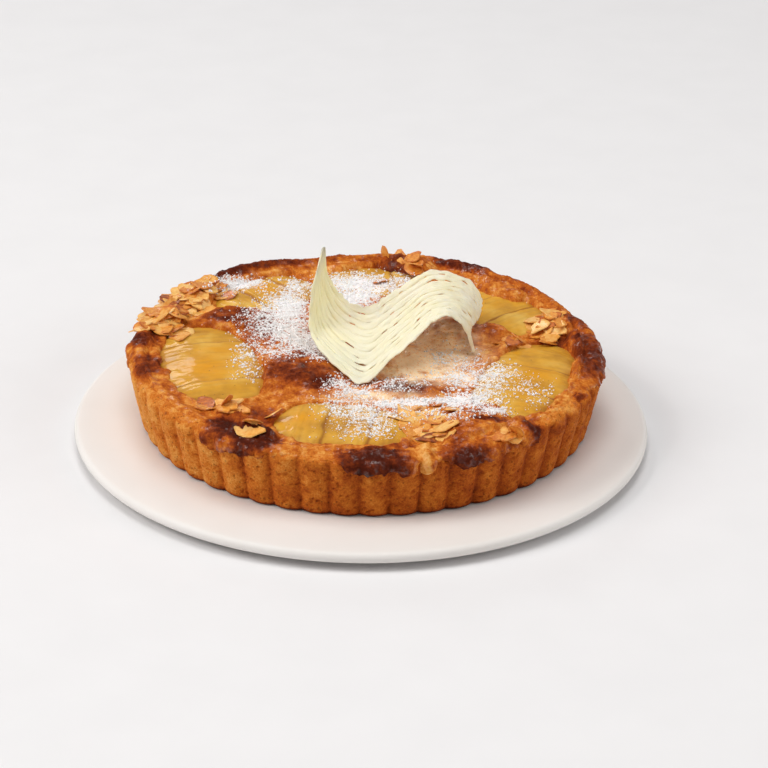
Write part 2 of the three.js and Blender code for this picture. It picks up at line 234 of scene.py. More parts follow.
floorSettings = {"half": 4, "colour": "#ECEBEC", "fleck": "#EAE9EA", "fleckSize": 40}


# Painted studio table: matte, with hardly any tone of its own.
def addFloor(settings):
    material, tree, place = newMaterial("matte_table_paint")
    mottle = addNode(tree, "TexNoise", {
        "Vector": place, "Scale": 1 / (settings["fleckSize"] * mm), "Detail": 2.0,
    })
    tone = addNode(tree, "ValToRGB", {"Fac": mottle}, stops=[
        (0.3, settings["colour"]), (0.7, settings["fleck"]),
    ])
    shader = addNode(tree, "BsdfPrincipled", {
        "Base Color": tone, "Roughness": 0.7, "Specular IOR Level": 0.25,
    })
    addNode(tree, "OutputMaterial", {"Surface": shader})
    bm = bmesh.new()
    bmesh.ops.create_grid(bm, x_segments=4, y_segments=4, size=settings["half"])
    mesh = toMesh(bm, "studio_floor")
    mesh.materials.append(material)
    obj = bpy.data.objects.new("studio_floor", mesh)
    bpy.context.scene.collection.objects.link(obj)


bpy.context.scene.view_settings.view_transform = "Standard"
addCamera(cameraSettings)
addLights(lightSettings)
addFloor(floorSettings)
print("studio ready")

# Plate: a flat stoneware disc with a rounded edge, on a foot ring.
plateSettings = {
    "radius": 155, "top": 10, "thick": 6, "footRadius": 96, "footWidth": 6,
    "edgeSteps": 12, "turnSteps": 288,
    "glaze": "#EDE9E5", "glazeWarm": "#EAE5E0", "unglazed": "#D9CDBE",
}


# Satin feldspar glaze on stoneware: off-white and slightly warm, softly reflecting, with faint
# cloudy tone; only the foot's ring is bare and rough.
def stonewareGlaze(settings):
    material, tree, place = newMaterial("satin_stoneware_glaze")
    clouds = addNode(tree, "TexNoise", {"Vector": place, "Scale": 1 / (55 * mm), "Detail": 3.0})
    tone = addNode(tree, "ValToRGB", {"Fac": clouds}, stops=[
        (0.35, settings["glaze"]), (0.7, settings["glazeWarm"]),
    ])
    split = addNode(tree, "SeparateXYZ", {"Vector": place})
    footShare = addNode(tree, "MapRange", {
        "Value": split.outputs["Z"], "From Min": 0.4 * mm, "From Max": 0.9 * mm, "To Min": 1.0, "To Max": 0.0,
    })
    colour = addNode(tree, "Mix", {
        "Factor": footShare, "A": tone, "B": settings["unglazed"],
    }, data_type="RGBA")
    roughness = addNode(tree, "MapRange", {"Value": footShare, "To Min": 0.5, "To Max": 0.85})
    ripple = addNode(tree, "TexNoise", {"Vector": place, "Scale": 1 / (9 * mm), "Detail": 2.0})
    bump = addNode(tree, "Bump", {"Height": ripple, "Strength": 0.08, "Distance": 0.4 * mm})
    shader = addNode(tree, "BsdfPrincipled", {
        "Base Color": colour, "Roughness": roughness, "Specular IOR Level": 0.3, "Normal": bump,
    })
    addNode(tree, "OutputMaterial", {"Surface": shader})
    return material


def makePlate(settings):
    underside = settings["top"] - settings["thick"]
    half = settings["thick"] / 2
    edgeMiddle = settings["radius"] - half
    foot = settings["footRadius"]
    inside = foot - settings["footWidth"]
    outline = [
        (0, underside), (40, underside), (inside - 3, underside), (inside - 1.4, underside - 0.6),
        (inside - 0.6, 0.6), (inside + 0.3, 0), (foot - 0.3, 0), (foot + 0.6, 0.6),
        (foot + 1.6, underside - 0.6), (foot + 4, underside), (125, underside),
    ]
    for step in range(settings["edgeSteps"] + 1):
        turn = math.pi * (step / settings["edgeSteps"] - 0.5)
        outline.append((edgeMiddle + half * math.cos(turn), underside + half + half * math.sin(turn)))
    outline += [(radius, settings["top"]) for radius in (148, 136, 115, 80, 40, 0)]
    mesh = spinOutline("cake_plate", [(r, z, 0) for r, z in outline], settings["turnSteps"])
    return finishPiece(mesh, stonewareGlaze(settings), ["plate"], (0, 0, 0))


makePlate(plateSettings)

# Shortcrust case, fluted outside, with its rim above the filling.
caseSettings = {
    "baseRadius": 119.6, "topRadius": 127.2, "wallHeight": 33.3, "footForward": 2.5,
    "fluteCount": 50, "fluteDepth": 2.6, "fluteTurn": -91.2,
    "crownRadius": 121, "crownHeight": 37.4, "crownLift": 3, "shoulder": 1.1,
    "fillRadius": 117, "fillEdge": 0.5, "floorRadius": 111, "floorThick": 4,
    # the rounded corners at the foot and at the wall's top, and the rim beside its crown
    "toe": 1.4, "toeInset": 1.2, "toeFlute": 0.8, "lip": 2, "lipInset": 0.9, "lipFlute": 0.7,
    "rimRadius": 124.6, "rimDrop": 1.4, "innerRadius": 118.6, "innerDrop": 1.9,
    "turnSteps": 1008, "outlineStep": 0.8, "rounding": 1.5,
    "lumps": 0.35, "crumb": 0.16, "pits": 0.75,
    # how dark the wall is: its bake all round, painted shade on the side away from the key light, in the pits
    # and flute valleys, and a painted contact shadow at the foot
    "wallBake": 0.33, "sideShade": 0.23, "shadedSide": 308, "litSideLimit": -0.4, "pitShade": 0.12, "valleyShade": 0.2,
    "footShadow": 0.4,
}
fillHeight = 33.6  # the filling's level in the middle
fillLift = 1  # how much higher it lies at the back edge


def unevenness(angle, size):
    return size * (0.5 * np.sin(3 * angle + 1) + 0.3 * np.sin(7 * angle + 4) + 0.2 * np.sin(13 * angle))


def fillLevel(y):
    return fillHeight + fillLift * y / caseSettings["fillRadius"]


# The depth of the flutes: 0 in a valley, all of it on a crest.
def flute(angle):
    pitch = 360 / caseSettings["fluteCount"]
    across = 2 * (((np.degrees(angle) - caseSettings["fluteTurn"]) / pitch) % 1) - 1
    return caseSettings["fluteDepth"] * (1 - across * across) ** 0.85


# Radii and heights of the case's outline at each angle, from the base's edge up the wall, over
# the rim and down inside to the floor.
def caseOutline(angle):
    c = caseSettings
    high = c["wallHeight"]
    depth = flute(angle) - c["fluteDepth"] / 2
    lift = 0.3 * c["crownLift"] * np.sin(angle) + unevenness(angle, 0.8)
    crown = c["crownHeight"] + c["crownLift"] * np.sin(angle) + unevenness(angle * 2, 1.2)
    crown += c["shoulder"] * np.maximum(-np.cos(4 * angle), 0) * (np.sin(angle) > 0)
    wander = unevenness(angle * 3, 0.6)
    even = np.zeros_like(angle)

    def wall(z):
        return c["baseRadius"] + (c["topRadius"] - c["baseRadius"]) * z / high

    radii = [
        wall(0) + c["toeFlute"] * depth - c["toeInset"], wall(c["toe"]) + depth,
        wall(high - c["lip"]) + depth, wall(high) + c["lipFlute"] * depth - c["lipInset"],
        c["rimRadius"] + wander, c["crownRadius"] + wander, c["innerRadius"] + wander,
        c["fillRadius"] + even, c["floorRadius"] + even,
    ]
    heights = [
        even, even + c["toe"], high - c["lip"] + lift, high + lift, crown - c["rimDrop"], crown,
        crown - c["innerDrop"], fillLevel(c["fillRadius"] * np.sin(angle)) - c["fillEdge"],
        even + c["floorThick"],
    ]
    return np.array([radii, heights])


meanOutline = caseOutline(np.linspace(0, 2 * math.pi, 400)).mean(axis=2)
outlineMarks = np.concatenate([[0], np.cumsum(np.hypot(*np.diff(meanOutline, axis=1)))])  # mm along it
footCorner, wallShoulder, wallTop, rimOutside, crownLine, _, rimInside, floorEdge = outlineMarks[1:]


def outlineAt(outline, along):
    index = np.clip(np.searchsorted(outlineMarks, along, side="right") - 1, 0, len(outlineMarks) - 2)
    share = np.clip((along - outlineMarks[index]) / (outlineMarks[index + 1] - outlineMarks[index]), 0, 1)
    low = np.array([np.take_along_axis(rows, index[None], 0)[0] for rows in outline])
    high = np.array([np.take_along_axis(rows, index[None] + 1, 0)[0] for rows in outline])
    return low + (high - low) * share


# The wall leans back a little: how much nearer the front it is at each height.
def leanAt(height, along):
    lean = caseSettings["footForward"] * np.clip(1 - height / caseSettings["wallHeight"], 0, 1)
    return np.where(along < rimOutside, lean, 0)


# The case's surface with its corners rounded: radius, height and the way out of it.
def caseSurface(angle, along):
    outline = caseOutline(angle)
    spread = np.array([-1, -0.5, 0, 0.5, 1]) * caseSettings["rounding"]
    points = [outlineAt(outline, along + shift) for shift in spread]
    radius, height = np.mean(points, axis=0)
    alongR, alongZ = points[-1] - points[0]
    length = np.hypot(alongR, alongZ) + 1e-9
    return radius, height, alongZ / length, -alongR / length


# Patches of colour are placed on a flat plan of the top as it looks from the front, where what
# stands higher lies further back.
planHeight = 32.7
planSlant = 2.02
planLowest = 31.5  # the wall below takes its colour from its top edge


def onPlan(places):
    return places[:, 0], places[:, 1] + planSlant * (np.maximum(places[:, 2], planLowest) - planHeight)


# The square of how far out of a spot each place is: 1 at the spot's own half sizes.
def outOfSpot(x, y, spotX, spotY, along, across, turn):
    u, v = turnedBy(-turn, x - spotX, y - spotY)
    return (u / along) ** 2 + (v / across) ** 2


# How dark the bake is: place on the plan, half sizes, turn in degrees and depth of colour.
# 0.3 is golden, 0.7 brown, 1 dark brown and 1.4 burnt.
toastSpots = [
    (-38, -22, 19, 17, 0, 0.95), (-24, -34, 11, 11, 0, 1.05), (-40, -48, 17, 8, 0, 0.5),
    (-56, -37, 7, 9, 0, 0.55), (20, -38, 18, 9, 0, 1.05), (0, -48, 9, 8, 0, 0.45), (46, 38, 12, 16, 0, 0.88),
    (55, 10, 7, 14, 0, 0.85), (68, 36, 9, 11, 0, 0.62), (30, 2, 18, 14, 0, 0.35), (-73, 52, 16, 7, -15, 0.9),
    (-90, 36, 12, 6, 30, 0.6), (-56, 34, 12, 22, 10, 0.9), (-40, 58, 8, 18, 0, 0.7),
    (-122, 13, 9, 11, 20, 1.1), (-116, -20, 9, 14, -8, 0.98), (-119, -3, 12, 3.5, 0, 0.4),
    (-100, -55, 3, 14, 25, 0.7), (-104, -62, 8, 20, 35, 0.4), (-72, -90, 9, 12, 0, 1.4),
    (-60, -102, 9, 9, 20, 1.3), (-53, -76, 10, 11, 0, 0.78), (-80, -98, 5, 9, -30, 0.8),
    (-31, -124, 14, 7, 0, 0.3), (5, -125, 20, 9, 0, 1.25), (20, -110, 9, 5, 0, 0.85),
    (31, -120, 7, 16, 0, 0.15), (53, -118, 16, 9, 0, 1.12), (46, -98, 8, 9, 0, 0.75),
    (42, -82, 13, 14, 0, 0.42), (55, -67, 9, 5, -10, 0.75), (63, -84, 11, 7, 0, 1.1),
    (62, -99, 9, 5, 0, 0.45), (87, -90, 7, 8, 0, 1.2), (76, -100, 8, 6, 30, 0.5), (78, -110, 9, 5, 30, 0.9),
    (107, -66, 11, 22, -30, 0.36), (113, -48, 3.5, 3.5, 0, 1.0), (120, -2, 10, 30, 0, 1.0),
    (103, 18, 11, 9, 0, 0.95), (109, -10, 4, 16, 0, 0.5), (115, 47, 8, 13, 0, 0.88),
    (100, 80, 10, 20, 38, 0.5), (90, 82, 6, 6, 0, 0.8), (107, 98, 8, 5, -40, 0.65),
    (75, 97, 12, 8, -40, 0.66), (55, 122, 21, 11, -20, 1.15), (15, 109, 11, 14, 0, 1.0),
    (8, 124, 17, 6, 0, 0.62), (-20, 126, 13, 9, 0, 0.58), (-40, 121, 11, 10, 0, 0.62),
    (-60, 118, 12, 8, 25, 0.9), (-80, 105, 18, 9, 35, 1.2), (-95, 89, 7, 5, 0, 0.45),
    (-98, 72, 9, 7, 0, 0.88), (-106, 48, 16, 13, 60, 0.34), (-48, 110, 17, 4, 6, 0.42),
    (-14, 114, 14, 5, 0, 0.3), (92, 66, 10, 16, 42, 0.42), (-84, 116, 22, 6, 32, 1.15),
    (-54, 123, 25, 9, 14, 0.95), (-22, 135, 14, 5, 5, 0.75), (-78, 44, 12, 6, 0, 1.05),
    (61, 127, 22, 5, -25, 0.95), (84, 104, 14, 4, -40, 0.7), (-61, -91, 5, 5, 0, 0.35),
    (-50, -83, 8, 6, 0, 0.75), (-50, -108, 7, 5, 0, 1.15), (-44, -98, 5, 6, 0, 0.35),
    (-54, -110, 9, 7, 0, 1.25), (-32, 12, 8, 20, 0, 0.9),
]
toastGround = 0.4


def toastAt(places):
    x, y = onPlan(places)
    ragged = 1 + 0.5 * noiseAt(places, 9, 3) + 0.35 * noiseAt(places, 3, 4)
    total = np.full(len(places), toastGround)
    for *spot, depth in toastSpots:
        total += (depth - total) * np.exp(-(outOfSpot(x, y, *spot) * ragged) ** 1.5)
    return total + 0.14 * noiseAt(places, 5, 5)


# Icing sugar: place on the plan, half sizes, turn and how thick it lies, up to 1.
sugarSpots = [
    (-74, 93, 15, 10, 10, 1.2), (-43, 62, 13, 24, 0, 0.95), (-42, 28, 12, 20, 0, 0.8),
    (-58, 40, 13, 26, 0, 0.5), (-40, 92, 10, 8, 0, 0.55), (-4, 93, 22, 15, 0, 1.1), (-8, 74, 15, 12, 0, 1.05),
    (22, 98, 8, 14, 0, 0.55), (-46, 4, 16, 10, 0, 0.4), (-63, -8, 9, 22, 0, 0.28), (-14, -36, 9, 10, 0, 0.6),
    (15, -36, 17, 10, 0, 0.42), (30, -57, 27, 6, 4, 0.95), (54, -52, 14, 9, 0, 0.7),
    (62, -32, 16, 18, 0, 0.55), (72, -18, 9, 9, 0, 0.4), (48, -8, 14, 16, 0, 0.4), (4, -72, 17, 16, 0, 0.58),
    (0, -92, 16, 8, 0, 0.4), (-14, -62, 10, 12, 0, 0.4), (88, -42, 9, 18, 0, 0.2), (40, -70, 15, 6, 0, 0.4),
    (-31, 16, 9, 13, 0, 0.9), (-24, -4, 6, 6, 0, 0.5), (46, -28, 10, 7, 0, 0.5), (34, -56, 24, 5, 0, 0.7),
    (67, -65, 8, 5, 0, 0.9), (-4, -47, 13, 8, 0, 0.5),
]
dustSpots = [
    (32, 6, 25, 24, 0, 1.0), (44, 36, 14, 16, 0, 0.4), (16, -16, 20, 9, 0, 1.0), (38, -26, 22, 8, 0, 0.65),
    (8, -50, 22, 7, 0, 0.5),
]


def spotsAt(places, spots):
    x, y = onPlan(places)
    bare = np.ones(len(places))
    for *spot, depth in spots:
        bare *= 1 - min(depth, 0.999) * np.exp(-outOfSpot(x, y, *spot) ** 1.3)
    return 1 - bare


# Baked crust from pale gold to burnt; the same scale of colours serves the case and the filling.
bakeColours = [
    (0.0, "#F1BC74"), (0.15, "#E29A48"), (0.28, "#CB7224"), (0.43, "#A84E14"), (0.58, "#7E330F"),
    (0.75, "#541A06"), (1.0, "#3A1002"),
]
bakeScale = 1.5  # the toast value at the scale's dark end


# Makes a painted value uneven with two noises and returns the sum and both. Each noise is its size
# in mm, detail, roughness, distortion, the range that counts, and what it adds at either end.
def makeUneven(tree, place, value, layers):
    noises, added = [], []
    for size, detail, roughness, distortion, low, high, atLow, atHigh in layers:
        noises.append(addNode(tree, "TexNoise", {
            "Vector": place, "Scale": 1 / (size * mm), "Detail": detail, "Roughness": roughness,
            "Distortion": distortion,
        }))
        added.append(addNode(tree, "MapRange", {
            "Value": noises[-1], "From Min": low, "From Max": high, "To Min": atLow, "To Max": atHigh,
        }))
    both = addNode(tree, "Math", {0: added[0], 1: added[1]})
    return addNode(tree, "Math", {0: value, 1: both}), *noises


# Glaze dries to small wet spots: returns the coat's weight and its own wrinkled surface.
def glazeSpots(tree, place, share):
    spots = addNode(tree, "TexNoise", {
        "Vector": place, "Scale": 1 / (3.2 * mm), "Detail": 2.0, "Roughness": 0.5,
    })
    wet = addNode(tree, "MapRange", {"Value": spots, "From Min": 0.49, "From Max": 0.56})
    weight = addNode(tree, "Math", {0: wet, 1: share}, operation="MULTIPLY")
    wrinkles = addNode(tree, "TexNoise", {"Vector": place, "Scale": 1 / (1.6 * mm), "Detail": 2.0})
    bump = addNode(tree, "Bump", {"Height": wrinkles, "Strength": 0.7, "Distance": 0.8 * mm})
    return weight, bump


# Butter shortcrust, baked in a fluted tin: dry, sandy and matte on the wall with pores where
# butter melted out, painted darker as shade inside them, and lightly glazed along the rim.
def shortcrust():
    material, tree, place = newMaterial("baked_shortcrust", tartPlace)
    toast = addNode(tree, "Attribute", attribute_name="toast")
    glaze = addNode(tree, "Attribute", attribute_name="glaze")
    depth, _, sand = makeUneven(tree, place, toast.outputs["Fac"], [
        (6, 4, 0.6, 0, 0.3, 0.7, -0.11, 0.11), (0.9, 3, 0.7, 0, 0.25, 0.75, 0.17, -0.15),
    ])
    scaled = addNode(tree, "Math", {0: depth, 1: bakeScale}, operation="DIVIDE")
    colour = addNode(tree, "ValToRGB", {"Fac": scaled}, stops=bakeColours)
    pores = addNode(tree, "TexVoronoi", {"Vector": place, "Scale": 1 / (2.6 * mm)})
    # the pores' depth, which also paints shade into them
    poreDepthShade = addNode(tree, "MapRange", {
        "Value": pores, "From Min": 0.1, "From Max": 0.26, "To Min": 0.55, "To Max": 1.0,
    })
    poreShadedColour = addNode(tree, "Mix", {
        "Factor": 1.0, "A": colour, "B": poreDepthShade,
    }, data_type="RGBA", blend_type="MULTIPLY")
    sandBump = addNode(tree, "Bump", {"Height": sand, "Strength": 0.55, "Distance": 0.5 * mm})
    poreBump = addNode(tree, "Bump", {
        "Height": poreDepthShade, "Strength": 0.5, "Distance": 0.4 * mm, "Normal": sandBump,
    })
    coat, coatNormal = glazeSpots(tree, place, glaze.outputs["Fac"])
    shader = addNode(tree, "BsdfPrincipled", {
        "Base Color": poreShadedColour, "Roughness": 0.7, "Specular IOR Level": 0.08, "Coat Weight": coat,
        "Coat Roughness": 0.08, "Coat IOR": 1.45, "Normal": poreBump, "Coat Normal": coatNormal,
    })
    addNode(tree, "OutputMaterial", {"Surface": shader})
    return material


def makeCase(settings):
    marks = np.arange(0, rimInside + 3, settings["outlineStep"]).tolist()
    marks += np.arange(rimInside + 5, floorEdge, 5).tolist() + [floorEdge]
    nominal = outlineAt(meanOutline[:, :, None].repeat(len(marks), axis=2), np.array(marks))
    outline = [(0, 0, -1)] + [(r, z, mark) for r, z, mark in zip(*nominal, marks)]
    outline.append((0, settings["floorThick"], -1))
    mesh = spinOutline("baked_case", outline, settings["turnSteps"])
    places = readPlaces(mesh)
    along = readMarks(mesh)
    outer = along >= 0
    angle = np.arctan2(places[:, 1], places[:, 0])
    radius, height, outR, outZ = caseSurface(angle, np.maximum(along, 0))
    bare = polarPlaces(radius, angle, height)
    onRim = smoothStep(wallShoulder, wallTop, along) * (1 - smoothStep(rimInside - 2, rimInside, along))
    offFloor = smoothStep(0, 3, height)
    pit = smoothStep(0.3, 0.52, noiseAt(bare, 2.4, 11, 2))
    push = settings["lumps"] * noiseAt(bare, 7, 12) * (1 + 1.3 * onRim)
    push += settings["crumb"] * noiseAt(bare, 1.7, 13, 2) * (1 + 1.6 * onRim) - settings["pits"] * pit
    push *= offFloor * (along < rimInside + 3)
    radius += push * outR
    height += push * outZ
    moved = polarPlaces(radius, angle, height)
    moved[:, 1] -= leanAt(height, along)
    places[outer] = moved[outer]
    writePlaces(mesh, places)

    seen = toastAt(bare)
    # painted shade: darker on the side turned from the key light, in the pits and in the flute valleys
    valley = 1 - flute(angle) / settings["fluteDepth"]
    towardShadedSide = np.maximum(np.cos(angle - math.radians(settings["shadedSide"])), settings["litSideLimit"])
    wallBakeAndShade = settings["wallBake"] + settings["sideShade"] * towardShadedSide + 0.14 * noiseAt(bare, 12, 14)
    wallBakeAndShade += settings["pitShade"] * pit + settings["valleyShade"] * valley ** 2
    # darker low on the wall, and a painted contact shadow along the foot where it meets the plate
    wallBakeAndShade += 0.1 * (1 - smoothStep(0, 5, height)) + settings["footShadow"] * (1 - smoothStep(0.4, 2, height))
    wallBakeAndShade += 0.45 * np.maximum(seen - 0.6, 0) * smoothStep(22, 33, height + 4 * noiseAt(bare, 4, 15))
    toRim = smoothStep(wallTop - 2, rimOutside, along)
    # the case's toast holds its bake and, on the wall, the painted shade and contact shadow
    paint(mesh, "toast", wallBakeAndShade + (seen - wallBakeAndShade) * toRim)
    paint(mesh, "glaze", smoothStep(0.05, 0.35, noiseAt(bare, 6, 16)) * toRim)
    return finishPiece(mesh, shortcrust(), ["crust"])


case = makeCase(caseSettings)

# Pears: poached halves, sliced across and fanned, sunk in the filling. Middle, direction of the
# length, length, width, the cuts as shares of the length, and yellow patches as their place along
# and across, spread and depth.
pearSettings = {
    "dome": 2.6, "sunk": 10, "sliceStep": 1.3, "edge": -0.6, "turnSteps": 88, "lengthSteps": 132,
    "sliceGap": 4.3, "groove": 0.6,
}
pears = [
    {"name": "left", "x": -83, "y": -15, "turn": 104, "length": 98, "width": 55, "cuts": [0.24, 0.72],
     "ripe": [(0.42, 0.1, 0.16, 0.9), (0.6, -0.3, 0.1, 0.5)]},
    {"name": "front", "x": -11, "y": -86, "turn": -7, "length": 74, "width": 52, "cuts": [0.38, 0.7],
     "ripe": [(0.2, 0.1, 0.12, 0.8)]},
    {"name": "right", "x": 85, "y": -29, "turn": 71, "length": 96, "width": 50, "cuts": [0.3, 0.62],
     "ripe": [(0.5, -0.2, 0.12, 0.5), (0.3, -0.3, 0.1, 0.4)]},
    {"name": "right_back", "x": 71, "y": 59, "turn": 130, "length": 76, "width": 46, "cuts": [0.35, 0.65],
     "ripe": []},
    {"name": "back", "x": 4, "y": 93, "turn": 182, "length": 62, "width": 45, "cuts": [0.33, 0.66],
     "ripe": []},
    {"name": "back_left", "x": -57, "y": 73, "turn": 219, "length": 66, "width": 46, "cuts": [0.3, 0.65],
     "ripe": [(0.45, -0.3, 0.14, 0.8)]},
]


def pearHalfWidth(pear, at):
    at = np.clip(at, 1e-4, 1 - 1e-4)
    return (pear["width"] / 2) * (4 * at * (1 - at)) ** 0.36 * (1.06 - 0.16 * at)


# How far each place lies outside a pear's outline, in mm; negative inside it.
def outsidePear(pear, places):
    along, across = turnedBy(-pear["turn"], places[:, 0] - pear["x"], places[:, 1] - pear["y"])
    across = np.abs(across)
    at = along / pear["length"] + 0.5
    step = 0.01
    slope = (pearHalfWidth(pear, at + step) - pearHalfWidth(pear, at - step)) / (2 * step * pear["length"])
    beside = (across - pearHalfWidth(pear, at)) / np.sqrt(1 + slope * slope)
    beyond = np.hypot(np.maximum(np.abs(along) - pear["length"] / 2, 0), across)
    return np.where((at > 0.01) & (at < 0.99), beside, np.maximum(beyond, 0.5))


# Low mounds of the filling between the pears: middle, half sizes and height.
mounds = [
    (-38, -26, 24, 26, 7), (22, -46, 20, 14, 4.5), (47, 28, 16, 15, 5), (70, 26, 10, 10, 4.5),
    (79, 8, 8, 9, 3.5), (-74, 40, 20, 13, 5), (-46, 26, 18, 22, 4), (4, 42, 26, 24, 3.5), (12, -6, 24, 20, 2),
    (60, -77, 14, 11, 7),
]
# Puffed and burnt overflow: angle round the rim, radius, half sizes out and round, and top.
overflow = [
    (131, 122, 6, 15, 41.5), (146, 116, 12, 15, 40.5), (161, 118, 12, 16, 39.5), (178, 122, 7.5, 13, 39),
    (227, 99, 12, 15, 36.8), (240, 116, 13, 16, 38.4), (273, 120.5, 6.5, 17, 36.8), (285, 120, 9, 7, 36.4),
    (296, 117, 12, 13, 37.4), (303, 104, 18, 17, 40.2), (311.5, 120, 8, 8, 39.5), (350, 118, 7.6, 15, 39.4),
    (6, 117, 8.4, 15, 40), (20, 111, 14, 16, 40), (48, 109, 8.5, 25, 39.6), (78, 113, 10, 17, 41.5),
]
lumpHalfHeight = 7
# Where it ran over the rim: angle, half width in degrees, how far down the wall, and thickness.
spills = [
    (233.5, 5, 7, 1.7), (242, 8, 3, 1.6), (273, 10.5, 5.5, 1.6), (279.5, 3, 9, 1.9), (285.5, 3, 3, 1.2),
    (296, 8, 6, 1.8), (305, 5, 3.5, 1.6), (311.5, 3.5, 5, 1.8), (357, 14, 5, 1.8), (12, 8, 4, 1.5),
    (179, 8, 5, 1.8), (165, 7, 4, 1.5), (150, 8, 3.5, 1.4), (78, 10, 3, 1.3), (126, 9, 3, 1.2),
    (62, 7, 2, 1.1),
]
fillingSettings = {
    "turnSteps": 840, "outlineStep": 1.15, "rimStep": 1.0, "under": 1.0, "lip": 1.3, "recess": 3.2,
    "rimRise": 2.6, "rimRiseWidth": 5, "ripple": 0.25, "crag": 1.5, "crumb": 0.4, "dust": 1.35,
}


def fillTop(places):
    x, y = places[:, 0], places[:, 1]
    top = fillLevel(y) + 0.35 * np.sin(x * 0.31 + y * 0.17) + 0.3 * np.sin(y * 0.39 - x * 0.12)
    for moundX, moundY, alongX, alongY, high in mounds:
        away = ((x - moundX) / alongX) ** 2 + ((y - moundY) / alongY) ** 2
        top += high * np.exp(-1.3 * away * away)
    return top


# How far each place has to go along its own direction to come out of the lumps of overflow.
def outOfLumps(places, ways):
    most = np.zeros(len(places))
    for angle, radius, out, around, top in overflow:
        turned = math.radians(angle)
        middle = np.array([radius * math.cos(turned), radius * math.sin(turned), top - lumpHalfHeight])
        axes = np.array([
            [math.cos(turned), math.sin(turned), 0], [-math.sin(turned), math.cos(turned), 0], [0, 0, 1],
        ]) / np.array([[out], [around], [lumpHalfHeight]])
        start = (places - middle) @ axes.T
        way = ways @ axes.T
        a = (way * way).sum(axis=1)
        b = (start * way).sum(axis=1)
        c = (start * start).sum(axis=1) - 1
        inside = b * b - a * c
        reach = np.where(inside > 0, (np.sqrt(np.maximum(inside, 0)) - b) / a, 0)
        most = np.maximum(most, reach)
    return most


# Icing sugar as a film over a baked or glazed surface: returns the colour and how bare it is.
def sugarFilm(tree, place, colour):
    sugar = addNode(tree, "Attribute", attribute_name="sugar")
    amount, _, _ = makeUneven(tree, place, sugar.outputs["Fac"], [
        (1.3, 4, 0.68, 0.8, 0.3, 0.7, -0.6, 0.6), (7, 2, 0.5, 0, 0.3, 0.7, -0.16, 0.16),
    ])
    covered = addNode(tree, "MapRange", {
        "Value": amount, "From Min": 0.54, "From Max": 0.68, "To Min": 0.0, "To Max": 0.97,
    })
    strewn = addNode(tree, "MapRange", {"Value": sugar.outputs["Fac"], "From Min": 0.03, "From Max": 0.12})
    film = addNode(tree, "Math", {0: covered, 1: strewn}, operation="MULTIPLY")
    white = addNode(tree, "Mix", {"Factor": film, "A": colour, "B": "#F6F4F4"}, data_type="RGBA")
    bare = addNode(tree, "Math", {0: 1.0, 1: film}, operation="SUBTRACT")
    return white, bare


# Almond frangipane, oven browned and brushed with apricot glaze: golden where it is low and pale,
# red-brown on the mounds, nearly black where it caught, shiny in patches and grainy in between.
def frangipane():
    material, tree, place = newMaterial("browned_frangipane", tartPlace)
    toast = addNode(tree, "Attribute", attribute_name="toast")
    glaze = addNode(tree, "Attribute", attribute_name="glaze")
    dust = addNode(tree, "Attribute", attribute_name="dust")
    depth, blotch, grain = makeUneven(tree, place, toast.outputs["Fac"], [
        (4.5, 4, 0.62, 0, 0.3, 0.7, -0.24, 0.24), (1.1, 3, 0.65, 0, 0.3, 0.7, 0.12, -0.1),
    ])
    scaled = addNode(tree, "Math", {0: depth, 1: bakeScale}, operation="DIVIDE")
    baked = addNode(tree, "ValToRGB", {"Fac": scaled}, stops=bakeColours)
    specks = addNode(tree, "TexNoise", {
        "Vector": place, "Scale": 1 / (1.5 * mm), "Detail": 4.0, "Roughness": 0.7,
    })
    speckColour = addNode(tree, "ValToRGB", {"Fac": specks}, stops=[
        (0.3, "#94562A"), (0.38, "#FFCA86"), (0.48, "#FFE6C2"),
    ])
    dusted = addNode(tree, "Mix", {
        "Factor": dust.outputs["Fac"], "A": baked, "B": speckColour,
    }, data_type="RGBA")
    sugared, bare = sugarFilm(tree, place, dusted)
    shine = addNode(tree, "Math", {0: glaze.outputs["Fac"], 1: bare}, operation="MULTIPLY")
    bump = addNode(tree, "Bump", {"Height": grain, "Strength": 0.5, "Distance": 0.6 * mm})
    blotchBump = addNode(tree, "Bump", {
        "Height": blotch, "Strength": 0.35, "Distance": 1.2 * mm, "Normal": bump,
    })
    coat, coatNormal = glazeSpots(tree, place, shine)
    shader = addNode(tree, "BsdfPrincipled", {
        "Base Color": sugared, "Roughness": 0.62, "Specular IOR Level": 0.08, "Coat Weight": coat,
        "Coat Roughness": 0.08, "Coat IOR": 1.45, "Normal": blotchBump, "Coat Normal": coatNormal,
    })
    addNode(tree, "OutputMaterial", {"Surface": shader})
    return material


# How far each angle is from a spill's middle, in half widths.
def fromSpill(angle, middle, half):
    return ((np.degrees(angle) % 360 - middle + 180) % 360 - 180) / half


# 1 where the overflow covers the rim or the wall below it, and 0 where it has ended.
def spillAt(angle, below):
    most = np.zeros(len(angle))
    for middle, half, down, _ in spills:
        away = fromSpill(angle, middle, half)
        share = np.exp(-away ** 4)
        end = down * share - 3.5 * (1 - share)
        most = np.maximum(most, smoothStep(0.6, -0.6, below - end) * (np.abs(away) < 1.6))
    return most


def spillThickness(angle):
    return np.max([
        thick * np.exp(-fromSpill(angle, middle, half) ** 4) for middle, half, _, thick in spills
    ], axis=0)


